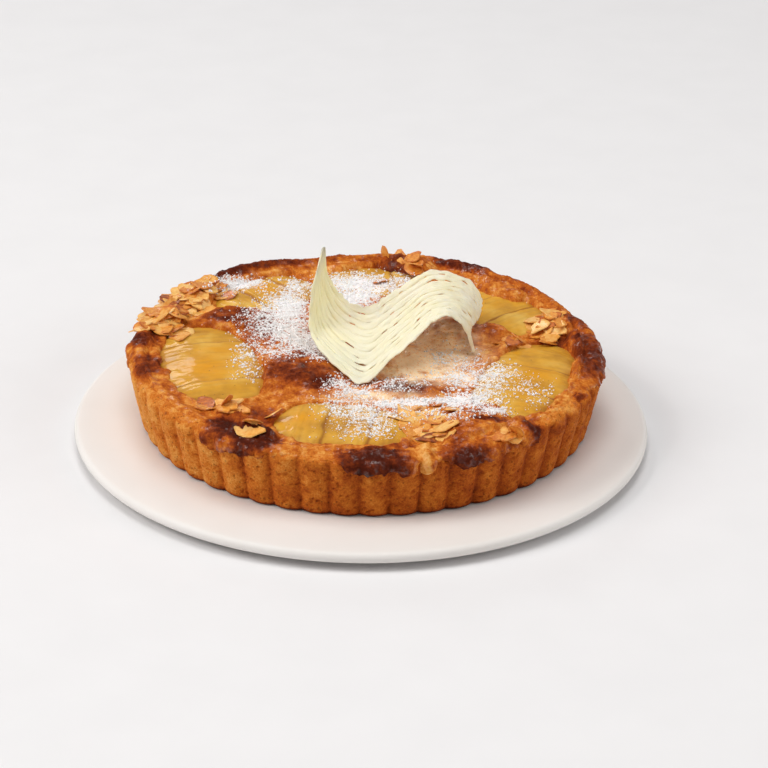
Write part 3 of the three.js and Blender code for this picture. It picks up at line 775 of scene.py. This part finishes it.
def makeFilling(settings):
    innerWall = caseSettings["fillRadius"]
    dripEnd = footCorner + 8
    overRim = 1000  # marks above this are places along the case's outline
    hidden = 3000
    outline = [(r, fillHeight, r) for r in np.arange(0, innerWall - 0.5, settings["outlineStep"])]
    rimMarks = np.arange(rimInside, dripEnd, -settings["rimStep"])
    nominal = outlineAt(meanOutline[:, :, None].repeat(len(rimMarks), axis=2), rimMarks)
    outline += [(r, z + 0.5, overRim + mark) for r, z, mark in zip(*nominal, rimMarks)]
    outline += [(innerWall + 1, 9, hidden), (caseSettings["floorRadius"] - 1, 5, hidden), (0, 5, hidden)]
    mesh = spinOutline("frangipane_filling", outline, settings["turnSteps"])
    places = readPlaces(mesh)
    marks = readMarks(mesh)
    angle = np.arctan2(places[:, 1], places[:, 0])
    onTop = marks < overRim
    onRim = (marks >= overRim) & (marks < hidden)

    radius, height, outR, outZ = caseSurface(angle, np.where(onRim, marks - overRim, 0))
    outR = np.maximum(outR, 0)
    length = np.hypot(outR, outZ) + 1e-9
    outR, outZ = outR / length, outZ / length
    radius -= settings["under"] * outR
    height -= settings["under"] * outZ
    ways = polarPlaces(outR, angle, outZ)
    rimPlaces = polarPlaces(radius, angle, height)
    rimPlaces[:, 1] -= leanAt(height, marks - overRim)
    places[onRim] = rimPlaces[onRim]
    ways[onTop] = (0, 0, 1)
    places[onTop, 2] = fillTop(places)[onTop]

    reach = outOfLumps(places, ways)
    reach += smoothStep(0, 2.5, reach) * 1.6 * noiseAt(places, 6, 21)
    below = (wallTop - (marks - overRim)) * onRim  # mm down the wall from its top edge
    ragged = noiseAt(places, 5, 29)
    spill = spillAt(angle, below + 3.5 * ragged)
    overWall = spill * (settings["under"] + spillThickness(angle))
    reach = np.where(onRim, np.maximum(reach, overWall), reach)
    # inside the rim's crown it climbs from the filling's edge and runs out just under the crown
    climb = np.clip((rimInside - (marks - overRim)) / (rimInside - crownLine), 0, 1)
    crown = caseOutline(angle)[1][5]
    edgeLevel = fillLevel(innerWall * np.sin(angle)) + settings["rimRise"]
    bridge = edgeLevel + (crown + 0.3 - edgeLevel) * climb - 1.3 * smoothStep(0.8, 1, climb)
    inner = onRim & (climb < 1)
    reach = np.where(inner, np.maximum(reach, bridge - places[:, 2]), reach)
    toast = toastAt(places)
    toastShare = smoothStep(0.5, 1.1, toast)
    rough = settings["ripple"] * noiseAt(places, 5, 22)
    creased = np.abs(noiseAt(places, 9, 23)) - 0.22
    risen = smoothStep(0.2, 2, reach + 3 * onTop)
    rough += settings["crag"] * toastShare * creased * risen
    rough += settings["crumb"] * noiseAt(places, 1.9, 24, 2) * risen
    calm = np.where(onTop, 1.0, smoothStep(0.3, 2.0, reach))
    push = np.maximum(reach, 0) + rough * calm
    offWall = np.maximum(innerWall - np.hypot(places[:, 0], places[:, 1]), 0)
    push += np.where(onTop, settings["rimRise"] * np.exp(-offWall / settings["rimRiseWidth"]), 0)
    shown = onTop | onRim
    places[shown] += (ways * push[:, None])[shown]

    nearest = np.min([outsidePear(pear, places) for pear in pears], axis=0)
    nearest += 3.2 * noiseAt(places, 14, 25) + 1.1 * noiseAt(places, 4, 26)
    lip = settings["lip"] * np.exp(-((nearest - 0.5) / 3.2) ** 2)
    drop = smoothStep(-0.8, -3.0, nearest) * (1 - smoothStep(1.5, 3.5, reach))
    level = fillLevel(places[:, 1])
    lowered = level - settings["recess"]
    topZ = places[:, 2] + lip
    places[:, 2] = np.where(onTop, topZ + (np.minimum(lowered, topZ) - topZ) * drop, places[:, 2])
    writePlaces(mesh, places)

    lump = smoothStep(1, 4, reach)
    paint(mesh, "toast", toast)
    paint(mesh, "glaze", smoothStep(-0.05, 0.25, noiseAt(places, 7, 27) + 0.25 * lump))
    paint(mesh, "sugar", spotsAt(places, sugarSpots))
    dust = settings["dust"] * spotsAt(places, dustSpots) * (1 + noiseAt(places, 6, 28))
    paint(mesh, "dust", np.clip(dust, 0, 0.96))
    return finishPiece(mesh, frangipane(), ["filling"])


filling = makeFilling(fillingSettings)


# Pear flesh poached in syrup and glazed: wet, half clear, straw to honey yellow, with faint lines
# from the knife across it, a browner edge where it dried, and painted shade in the gaps between the slices.
def poachedPear():
    material, tree, place = newMaterial("glazed_poached_pear", tartPlace)
    ripe = addNode(tree, "Attribute", attribute_name="ripe")
    driedAndGapShade = addNode(tree, "Attribute", attribute_name="driedAndGapShade")
    clouds = addNode(tree, "TexNoise", {
        "Vector": place, "Scale": 1 / (16 * mm), "Detail": 3.0, "Roughness": 0.55,
    })
    flesh = addNode(tree, "ValToRGB", {"Fac": clouds}, stops=[
        (0.28, "#B88226"), (0.5, "#D49C30"), (0.72, "#E4B856"),
    ])
    yellow = addNode(tree, "Mix", {
        "Factor": ripe.outputs["Fac"], "A": flesh, "B": "#E09804",
    }, data_type="RGBA")
    # browner at the dried edge, with painted shade in the gaps between slices and along the knife lines
    browned = addNode(tree, "Mix", {
        "Factor": driedAndGapShade.outputs["Fac"], "A": yellow, "B": "#8E4C18",
    }, data_type="RGBA")
    grit = addNode(tree, "TexVoronoi", {"Vector": place, "Scale": 1 / (5.5 * mm)})
    gritShare = addNode(tree, "MapRange", {
        "Value": grit, "From Min": 0.05, "From Max": 0.085, "To Min": 0.75, "To Max": 0.0,
    })
    specked = addNode(tree, "Mix", {"Factor": gritShare, "A": browned, "B": "#6B431F"}, data_type="RGBA")
    sugared, bare = sugarFilm(tree, place, specked)
    shine = addNode(tree, "Math", {0: 0.4, 1: bare}, operation="MULTIPLY")
    ripple = addNode(tree, "TexNoise", {"Vector": place, "Scale": 1 / (3.5 * mm), "Detail": 3.0})
    bump = addNode(tree, "Bump", {"Height": ripple, "Strength": 0.3, "Distance": 0.6 * mm})
    shader = addNode(tree, "BsdfPrincipled", {
        "Base Color": sugared, "Roughness": 0.55, "Specular IOR Level": 0.15, "Subsurface Weight": 0.12,
        "Subsurface Radius": (1.0, 0.6, 0.25), "Subsurface Scale": 3 * mm, "Coat Weight": shine,
        "Coat Roughness": 0.1, "Coat IOR": 1.35, "Normal": bump,
    })
    addNode(tree, "OutputMaterial", {"Surface": shader})
    return material


def makePear(pear, material):
    s = pearSettings
    bm = bmesh.new()
    bmesh.ops.create_uvsphere(bm, u_segments=s["turnSteps"], v_segments=s["lengthSteps"], radius=1)
    bmesh.ops.rotate(bm, cent=(0, 0, 0), matrix=Matrix.Rotation(math.radians(90), 3, "Y"), verts=bm.verts)
    mesh = toMesh(bm, "pear_half_" + pear["name"])
    ball = readPlaces(mesh)
    at = np.clip((1 + ball[:, 0]) / 2, 0, 1)
    around = np.arctan2(ball[:, 2], ball[:, 1])
    side, up = np.cos(around), np.sin(around)
    halfWidth = pearHalfWidth(pear, at) * (at > 1e-3) * (at < 1 - 1e-3)
    full = np.minimum(1, np.minimum(6 * at, 6 * (1 - at)))

    bounds = np.array([0, *pear["cuts"], 1])
    part = np.clip(np.searchsorted(bounds, at, side="right") - 1, 0, len(bounds) - 2)
    share = (at - bounds[part]) / (bounds[part + 1] - bounds[part])
    lean = 2.2 * noiseAt(np.stack([side * 20, at * 0, at * 0], axis=1), 14, pear["length"]) / pear["length"]
    toCut = np.min([np.abs(at + lean - cut) for cut in pear["cuts"]], axis=0) * pear["length"]
    groove = np.exp(-(toCut / 0.9) ** 2)
    strokes = 0.5 + 0.5 * np.cos(2 * math.pi * (at + lean) * pear["length"] / s["sliceGap"])
    rise = s["sliceStep"] * (share - 0.5) * (1 - groove) - s["groove"] * groove

    dome = s["edge"] + (s["dome"] - s["edge"] + rise) * np.maximum(up, 0) * full
    sink = s["edge"] - (s["sunk"] + s["edge"]) * np.maximum(-up, 0) ** 0.6
    flat = np.stack([
        (at - 0.5) * pear["length"],
        halfWidth * np.where(up > 0, side, np.sign(side) * np.abs(side) ** 0.5),
        np.where(up > 0, dome, sink * full),
    ], axis=1)
    flat[:, 2] += np.where(up > 0, 0.35 * noiseAt(flat, 11, pear["width"]) - 0.09 * strokes ** 3 * full, 0)
    ripe = np.zeros(len(flat))
    for ripeAt, ripeSide, spread, depth in pear["ripe"]:
        across = (flat[:, 1] / pear["width"] * 2 - ripeSide) / (3.4 * spread)
        ripe = np.maximum(ripe, depth * np.exp(-(((at - ripeAt) / spread) ** 2 + across ** 2)))
    x, y = turnedBy(pear["turn"], flat[:, 0], flat[:, 1])
    places = np.stack([pear["x"] + x, pear["y"] + y, fillLevel(pear["y"]) + flat[:, 2]], axis=1)
    writePlaces(mesh, places)
    edge = smoothStep(-7, 0, outsidePear(pear, places) + 2.5 * noiseAt(places, 6, 31))
    fibres = noiseAt(np.stack([flat[:, 0] / 2.2, flat[:, 1] / 16, flat[:, 2] * 0], axis=1), 1, pear["length"])
    paint(mesh, "ripe", np.clip(ripe + 0.35 * np.maximum(noiseAt(places, 12, 32), 0) + 0.2 * fibres, 0, 1))
    # browner at the edge where it dried; painted shade in the gaps between the slices and in the knife lines
    driedAndGapShade = 0.37 * edge + 0.75 * groove * full + 0.08 * strokes ** 4 - 0.18 * fibres
    paint(mesh, "driedAndGapShade", np.clip(driedAndGapShade, 0, 0.9))
    paint(mesh, "sugar", spotsAt(places, sugarSpots))
    return finishPiece(mesh, material, ["pear_" + pear["name"]])


pearFlesh = poachedPear()
pearPieces = [makePear(pear, pearFlesh) for pear in pears]


# The tart's top as one surface, for what lies on it.
def surfaceTree(objects):
    bm = bmesh.new()
    for obj in objects:
        bm.from_mesh(obj.data)
    tree = BVHTree.FromBMesh(bm)
    bm.free()
    return tree


def dropOnto(tree, x, y):
    above = Vector(((x + tartPlace[0]) * mm, (y + tartPlace[1]) * mm, 0.2))
    hit, normal, _, _ = tree.ray_cast(above, Vector((0, 0, -1)))
    return (hit / mm - Vector(tartPlace), normal) if hit else (None, None)


# Many copies of one small shape as a single mesh, painted with one value for each copy, or with
# one for each of the shape's points.
def joinCopies(name, shape, matrices, painted):
    points = np.array([vert.co[:] for vert in shape.verts])
    faces = [[vert.index for vert in face.verts] for face in shape.faces]
    places = np.concatenate([points @ np.array(m.to_3x3()).T + np.array(m.translation) for m in matrices])
    count = len(points)
    starts = range(0, count * len(matrices), count)
    allFaces = [[start + i for i in face] for start in starts for face in faces]
    mesh = bpy.data.meshes.new(name)
    mesh.from_pydata(places.tolist(), [], allFaces)
    for key, values in painted.items():
        everywhere = np.tile(values, len(matrices)) if len(values) == count else np.repeat(values, count)
        paint(mesh, key, everywhere)
    return mesh


# Flaked almonds lie in clusters: middle, spread along and across, turn and number.
almondSettings = {
    "length": 13, "width": 9.4, "thick": 0.55, "seed": 41, "sizes": (0.65, 1.25), "squeeze": (0.85, 1.15),
    # how far they lie level, how they tilt and roll, and how each flake near by lifts the next
    "level": 0.45, "tilt": 5, "roll": 6, "lift": 0.3, "near": 4.5, "stack": 0.35, "stackMost": 2.0,
    "toast": (0.27, 0.2),  # middle and swing
    "clusters": [
        (-113, 41, 29, 11, 112, 54), (-100, 60, 16, 10, 130, 32), (-87, 74, 14, 9, 140, 15),
        (-75, -70, 13, 5, -20, 9), (-60, -102, 4, 3, 0, 3), (-122, 21, 5, 3, 100, 5),
        (31, -86, 19, 12, -70, 34), (70, -101, 7, 3, 10, 4), (99, 29, 14, 9, 100, 17), (80, 12, 6, 7, 60, 4),
        (22, 109, 7, 3, -20, 4), (30, 102, 5, 3, 0, 3), (5, 91, 3, 2, 0, 1), (33, -64, 15, 5, 0, 6),
    ],
    # single flakes that stand up: place, turn, tilt and height of the middle over the surface
    "standing": [
        (11, 117, 20, 68, 3.4), (-57, -99, 60, 35, 1.6), (84, 16, 10, 30, 1.6), (77, -99, 70, 52, 2.6),
        (-48, -80, 150, 40, 2.4), (-72, -70, 120, 50, 2.2), (28, 103, 75, 42, 2.4),
    ],
}


# Blanched almond, sliced thin and toasted: pale gold and satin, browner towards its rim.
def toastedAlmond():
    material, tree, place = newMaterial("toasted_almond")
    toast = addNode(tree, "Attribute", attribute_name="toast")
    grain = addNode(tree, "TexNoise", {
        "Vector": place, "Scale": 1 / (2.2 * mm), "Detail": 4.0, "Roughness": 0.6,
    })
    grainTone = addNode(tree, "MapRange", {
        "Value": grain, "From Min": 0.3, "From Max": 0.7, "To Min": -0.2, "To Max": 0.2,
    })
    edge = addNode(tree, "Attribute", attribute_name="edge")
    inner = addNode(tree, "Math", {0: toast.outputs["Fac"], 1: grainTone})
    depth = addNode(tree, "Math", {0: edge.outputs["Fac"], 1: 0.14, 2: inner}, operation="MULTIPLY_ADD")
    colour = addNode(tree, "ValToRGB", {"Fac": depth}, stops=[
        (0.0, "#F6C672"), (0.35, "#E99E3E"), (0.65, "#CA6A1A"), (1.0, "#7A340D"),
    ])
    bump = addNode(tree, "Bump", {"Height": grain, "Strength": 0.3, "Distance": 0.4 * mm})
    shader = addNode(tree, "BsdfPrincipled", {
        "Base Color": colour, "Roughness": 0.45, "Specular IOR Level": 0.45, "Coat Weight": 0.35,
        "Coat Roughness": 0.2, "Normal": bump,
    })
    addNode(tree, "OutputMaterial", {"Surface": shader})
    return material


def flakeShape(settings):
    bm = bmesh.new()
    bmesh.ops.create_cone(bm, cap_ends=True, cap_tris=False, segments=12, radius1=0.5, radius2=0.47, depth=1)
    caps = [face for face in bm.faces if len(face.verts) > 4]
    bmesh.ops.inset_individual(bm, faces=caps, thickness=0.16)
    bmesh.ops.scale(bm, vec=(settings["length"], settings["width"], settings["thick"]), verts=bm.verts)
    for vert in bm.verts:  # one end is pointed, as an almond's is, and the slice is bent
        x = vert.co.x / settings["length"]
        vert.co.y *= 1 - 0.7 * x if x > 0 else 1 + 0.1 * x
        vert.co.z += 1.8 * x * x + 0.8 * x * vert.co.y / 4 - 0.3
        ragged = 1 + 0.12 * math.sin(7 * x + vert.co.y) + 0.07 * math.sin(3.1 * vert.co.y)
        vert.co.x *= ragged
        vert.co.y *= ragged
    bmesh.ops.recalc_face_normals(bm, faces=bm.faces)
    bm.verts.index_update()
    return bm


def makeAlmonds(settings, ground):
    draw = random.Random(settings["seed"])
    matrices, toasts, laid = [], [], []

    def lay(x, y, turn, tilt, lift, size):
        place, normal = dropOnto(ground, x, y)
        if not place:
            return
        upright = Vector((0, 0, 1))
        lean = upright.rotation_difference(normal.lerp(upright, settings["level"])).to_matrix().to_4x4()
        turned = Matrix.Rotation(math.radians(turn), 4, "Z") @ Matrix.Rotation(math.radians(tilt), 4, "Y")
        roll = Matrix.Rotation(math.radians(draw.gauss(0, settings["roll"])), 4, "X")
        stretch = Matrix.Diagonal((size, size * draw.uniform(*settings["squeeze"]), 1, 1))
        matrices.append(Matrix.Translation(place + Vector((0, 0, lift))) @ lean @ turned @ roll @ stretch)
        toasts.append(min(1, max(0, draw.gauss(*settings["toast"]))))

    for x, y, along, across, turn, count in settings["clusters"]:
        for i in range(count):
            angle = i * 2.4 + draw.random()
            reach = math.sqrt((i + 0.5) / count)
            u, v = turnedBy(turn, along * reach * math.cos(angle), across * reach * math.sin(angle))
            under = sum(math.dist(other, (x + u, y + v)) < settings["near"] for other in laid)
            laid.append((x + u, y + v))
            lift = settings["lift"] + min(settings["stack"] * under, settings["stackMost"])
            way, tilt = draw.uniform(0, 360), draw.gauss(0, settings["tilt"])
            lay(x + u, y + v, way, tilt, lift, draw.uniform(*settings["sizes"]))
    for x, y, turn, tilt, lift in settings["standing"]:
        lay(x, y, turn, tilt, lift, 0.95)
    shape = flakeShape(settings)
    out = [math.hypot(v.co.x / settings["length"], v.co.y / settings["width"]) * 2 for v in shape.verts]
    edges = [min(1, share) ** 3 for share in out]
    mesh = joinCopies("almond_flakes", shape, matrices, {"toast": toasts, "edge": edges})
    shape.free()
    piece = finishPiece(mesh, toastedAlmond(), ["filling"])
    piece.data.set_sharp_from_angle(angle=math.radians(50))
    return piece


almonds = makeAlmonds(almondSettings, surfaceTree([case, filling, *pearPieces]))

# White chocolate lattice: one thin wavy sheet of piped threads with narrow slits. The front and
# back edges run from the spike on the left, through the valley and over the crest to the tip.
latticeSettings = {
    "front": [
        (-24, 14, 90), (-30, 4, 64), (-30, -4, 47), (-16, -25, 38.4), (-1, -38.5, 34.6), (12, -31, 44.3),
        (25, -20, 51.6), (35, -10, 57.7), (44, -4, 58.9), (52, -2, 51.4), (58, 1, 34.6),
    ],
    "back": [
        (-23, 18, 88.5), (-22, 26, 70.3), (-16, 29, 58.4), (-8, 25, 52.4), (2, 20, 53.1), (10, 25, 55.8),
        (21, 35, 60), (35, 44, 64.5), (48, 46, 61.2), (58, 46, 56), (64, 43, 47.5),
    ],
    "sag": 3, "thick": 0.85, "threads": 11, "across": 10, "along": 104, "ridge": 0.8, "strand": 0.05,
    "slitLength": (1.2, 4.6), "slitPause": (2, 12), "wideSlit": 3.8, "seed": 7,
    "waver": 0.025, "swell": 0.8, "ripple": 0.3, "drawn": 0.5, "ragged": 2.0,
}


# A smooth curve through the points, read at shares 0 to 1 of its pieces.
def curveThrough(points, share):
    points = np.array(points, float)
    points = np.vstack([2 * points[0] - points[1], points, 2 * points[-1] - points[-2]])
    pieces = len(points) - 3
    index = np.clip((share * pieces).astype(int), 0, pieces - 1)
    t = (share * pieces - index)[:, None]
    p0, p1, p2, p3 = (points[index + k] for k in range(4))

    def spacing(a, b):
        return np.linalg.norm(b - a, axis=1, keepdims=True) ** 0.5

    d0, d1, d2 = spacing(p0, p1), spacing(p1, p2), spacing(p2, p3)
    start = ((p1 - p0) / d0 - (p2 - p0) / (d0 + d1) + (p2 - p1) / d1) * d1
    end = ((p2 - p1) / d1 - (p3 - p1) / (d1 + d2) + (p3 - p2) / d2) * d1
    square = -3 * p1 + 3 * p2 - 2 * start - end
    cube = 2 * p1 - 2 * p2 + start + end
    return p1 + start * t + square * t ** 2 + cube * t ** 3


# White couverture, piped and set: ivory, waxy and smooth, letting a little light through.
def whiteChocolate():
    material, tree, place = newMaterial("piped_white_chocolate")
    clouds = addNode(tree, "TexNoise", {"Vector": place, "Scale": 1 / (14 * mm), "Detail": 3.0})
    tone = addNode(tree, "ValToRGB", {"Fac": clouds}, stops=[(0.3, "#FAEEC4"), (0.7, "#FCF3D4")])
    # painted light: the curl is tinted warmer and brighter, for light that bounces inside it and shines
    # through
    curlLightTint = addNode(tree, "Attribute", attribute_name="curlLightTint")
    curlLitTone = addNode(tree, "Mix", {
        "Factor": curlLightTint.outputs["Fac"], "A": tone, "B": "#FFF4C6",
    }, data_type="RGBA")
    waves = addNode(tree, "TexNoise", {"Vector": place, "Scale": 1 / (1.8 * mm), "Detail": 2.0})
    bump = addNode(tree, "Bump", {"Height": waves, "Strength": 0.25, "Distance": 0.4 * mm})
    shader = addNode(tree, "BsdfPrincipled", {
        "Base Color": curlLitTone, "Roughness": 0.4, "Specular IOR Level": 0.4, "Subsurface Weight": 0.7,
        "Subsurface Radius": (1.0, 0.9, 0.7), "Subsurface Scale": 3 * mm, "Normal": bump,
    })
    addNode(tree, "OutputMaterial", {"Surface": shader})
    return material


def makeLattice(settings):
    draw = random.Random(settings["seed"])
    rows = settings["threads"] * settings["across"]
    bm = bmesh.new()
    bmesh.ops.create_grid(bm, x_segments=settings["along"], y_segments=rows, size=0.5)
    # slits between the threads, in % of the length: few on the curl at the left, the longer ones
    # two rows wide in their middle
    slits = []
    for border in range(1, settings["threads"]):
        at = draw.uniform(4, 14)
        while at < 95:
            size = draw.uniform(*settings["slitLength"])
            row = border * settings["across"] + draw.choice((-1, 0, 0, 1))
            if draw.random() < 0.2 + 0.03 * max(0, at - 20):
                slits.append((row, at / 100, (at + size) / 100))
                if size > settings["wideSlit"]:
                    slits.append((row + 1, (at + 0.3 * size) / 100, (at + 0.75 * size) / 100))
            at += size + draw.uniform(*settings["slitPause"])
    gone = []
    for face in bm.faces:
        middle = face.calc_center_median()
        u, v = middle.x + 0.5, middle.y + 0.5
        if any(row == int(v * rows) and low < u < high for row, low, high in slits):
            gone.append(face)
    bmesh.ops.delete(bm, geom=gone, context="FACES")
    mesh = toMesh(bm, "lattice_sheet")
    grid = readPlaces(mesh)
    u, v = np.clip(grid[:, 0] + 0.5, 0, 1), np.clip(grid[:, 1] + 0.5, 0, 1)

    def sheetAt(u, v):
        front = curveThrough(settings["front"], np.clip(u, 0, 1))
        back = curveThrough(settings["back"], np.clip(u, 0, 1))
        place = front + (back - front) * v[:, None]
        place[:, 2] -= settings["sag"] * np.sin(math.pi * v) * np.sin(math.pi * u)
        return place

    # the front corner on the right hangs down as a thin strand
    u = u * (1 - settings["strand"] * smoothStep(0.75, 0.2, v) * smoothStep(0.02, 0.14, v))
    flow = np.stack([u * 9, v * 3, v * 0], axis=1)
    waver = v + settings["waver"] * noiseAt(flow, 1, 41, 2) * np.sin(math.pi * v)
    places = sheetAt(u, waver)
    alongU = sheetAt(u + 0.01, waver) - sheetAt(u - 0.01, waver)
    alongV = sheetAt(u, np.clip(waver + 0.01, 0, 1)) - sheetAt(u, np.clip(waver - 0.01, 0, 1))
    normal = np.cross(alongU, alongV)
    normal /= np.linalg.norm(normal, axis=1, keepdims=True)
    thread = v * settings["threads"]
    strands = np.abs(np.sin(math.pi * thread)) ** 0.7 + 0.3 * np.abs(np.sin(3 * math.pi * thread))
    alongThread = np.stack([u * 14, np.floor(thread) * 3, v * 0], axis=1)
    swell = 1 + settings["swell"] * noiseAt(alongThread, 1, 44, 2)
    narrow = np.clip(np.linalg.norm(sheetAt(u, v * 0) - sheetAt(u, v * 0 + 1), axis=1) / 25, 0.1, 1)
    drawn = noiseAt(np.stack([u * 16, v * 34, v * 0], axis=1), 1, 45, 2)
    relief = settings["ridge"] * (strands * swell - 0.6) + settings["ripple"] * noiseAt(flow, 0.35, 42, 2)
    relief = narrow * (relief + settings["drawn"] * drawn)
    places += normal * relief[:, None]
    ragged = settings["ragged"] * noiseAt(np.stack([u * 55, v * 2, v * 0], axis=1), 1.0, 43, 3)
    atEdge = np.exp(-(np.minimum(v, 1 - v) / 0.04) ** 2)
    across = alongV / np.linalg.norm(alongV, axis=1, keepdims=True)
    places += across * (ragged * narrow * atEdge * np.sign(v - 0.5))[:, None]
    writePlaces(mesh, places)
    paint(mesh, "curlLightTint", 1 - smoothStep(0.1, 0.45, u))  # painted light: the curl on the left is warmer and brighter, for light bouncing inside it and shining through
    obj = finishPiece(mesh, whiteChocolate(), ["chocolate_lattice"])
    thicken = obj.modifiers.new("thickness", "SOLIDIFY")
    thicken.thickness = settings["thick"] * mm
    thicken.offset = 0
    rounded = obj.modifiers.new("rounding", "SUBSURF")
    rounded.levels = rounded.render_levels = 1
    return obj


makeLattice(latticeSettings)

# Icing sugar that lies in grains and small clumps on top of the film. Places are tried in rounds.
sugarSettings = {
    "count": 17000, "tries": 4000, "reach": 112, "small": 0.34, "large": 1.7, "fine": 2.4, "raised": 0.16,
    "likely": 0.85, "drifts": 1.9, "clumps": 2.2, "seed": 12,
}


# Sifted icing sugar: pure white, dull and powdery.
def icingSugar():
    material, tree, place = newMaterial("icing_sugar_powder")
    grain = addNode(tree, "TexNoise", {"Vector": place, "Scale": 1 / (3 * mm), "Detail": 2.0})
    tone = addNode(tree, "ValToRGB", {"Fac": grain}, stops=[(0.3, "#F3F2F3"), (0.6, "#FCFBFB")])
    shader = addNode(tree, "BsdfPrincipled", {
        "Base Color": tone, "Roughness": 0.9, "Specular IOR Level": 0.2,
    })
    addNode(tree, "OutputMaterial", {"Surface": shader})
    return material


def makeSugar(settings, ground):
    draw = random.Random(settings["seed"])
    matrices = []
    small, large = settings["small"], settings["large"]
    while len(matrices) < settings["count"]:
        tries = [[settings["reach"] * draw.uniform(-1, 1) for _ in "xy"] for _ in range(settings["tries"])]
        spots = [dropOnto(ground, x, y)[0] for x, y in tries]
        places = np.array([spot for spot in spots if spot])
        chance = spotsAt(places, sugarSpots) * (1 + settings["drifts"] * noiseAt(places, 6, 51))
        chance *= 1 + settings["clumps"] * noiseAt(places, 2.4, 52)
        for place, likely in zip(places, chance):
            if draw.random() > settings["likely"] * likely or len(matrices) >= settings["count"]:
                continue
            size = small + (large - small) * draw.random() ** settings["fine"]
            turned = Euler([draw.uniform(0, 6.28) for _ in range(3)]).to_matrix().to_4x4()
            sides = size * draw.uniform(0.35, 0.5), size * draw.uniform(0.3, 0.5)
            lifted = Matrix.Translation((*place[:2], place[2] + settings["raised"] * size))
            matrices.append(lifted @ turned @ Matrix.Diagonal((size / 2, *sides, 1)))
    shape = bmesh.new()
    bmesh.ops.create_uvsphere(shape, u_segments=4, v_segments=2, radius=1)
    shape.verts.index_update()
    mesh = joinCopies("icing_sugar", shape, matrices, {})
    shape.free()
    return finishPiece(mesh, icingSugar())


makeSugar(sugarSettings, surfaceTree([filling, *pearPieces, almonds]))
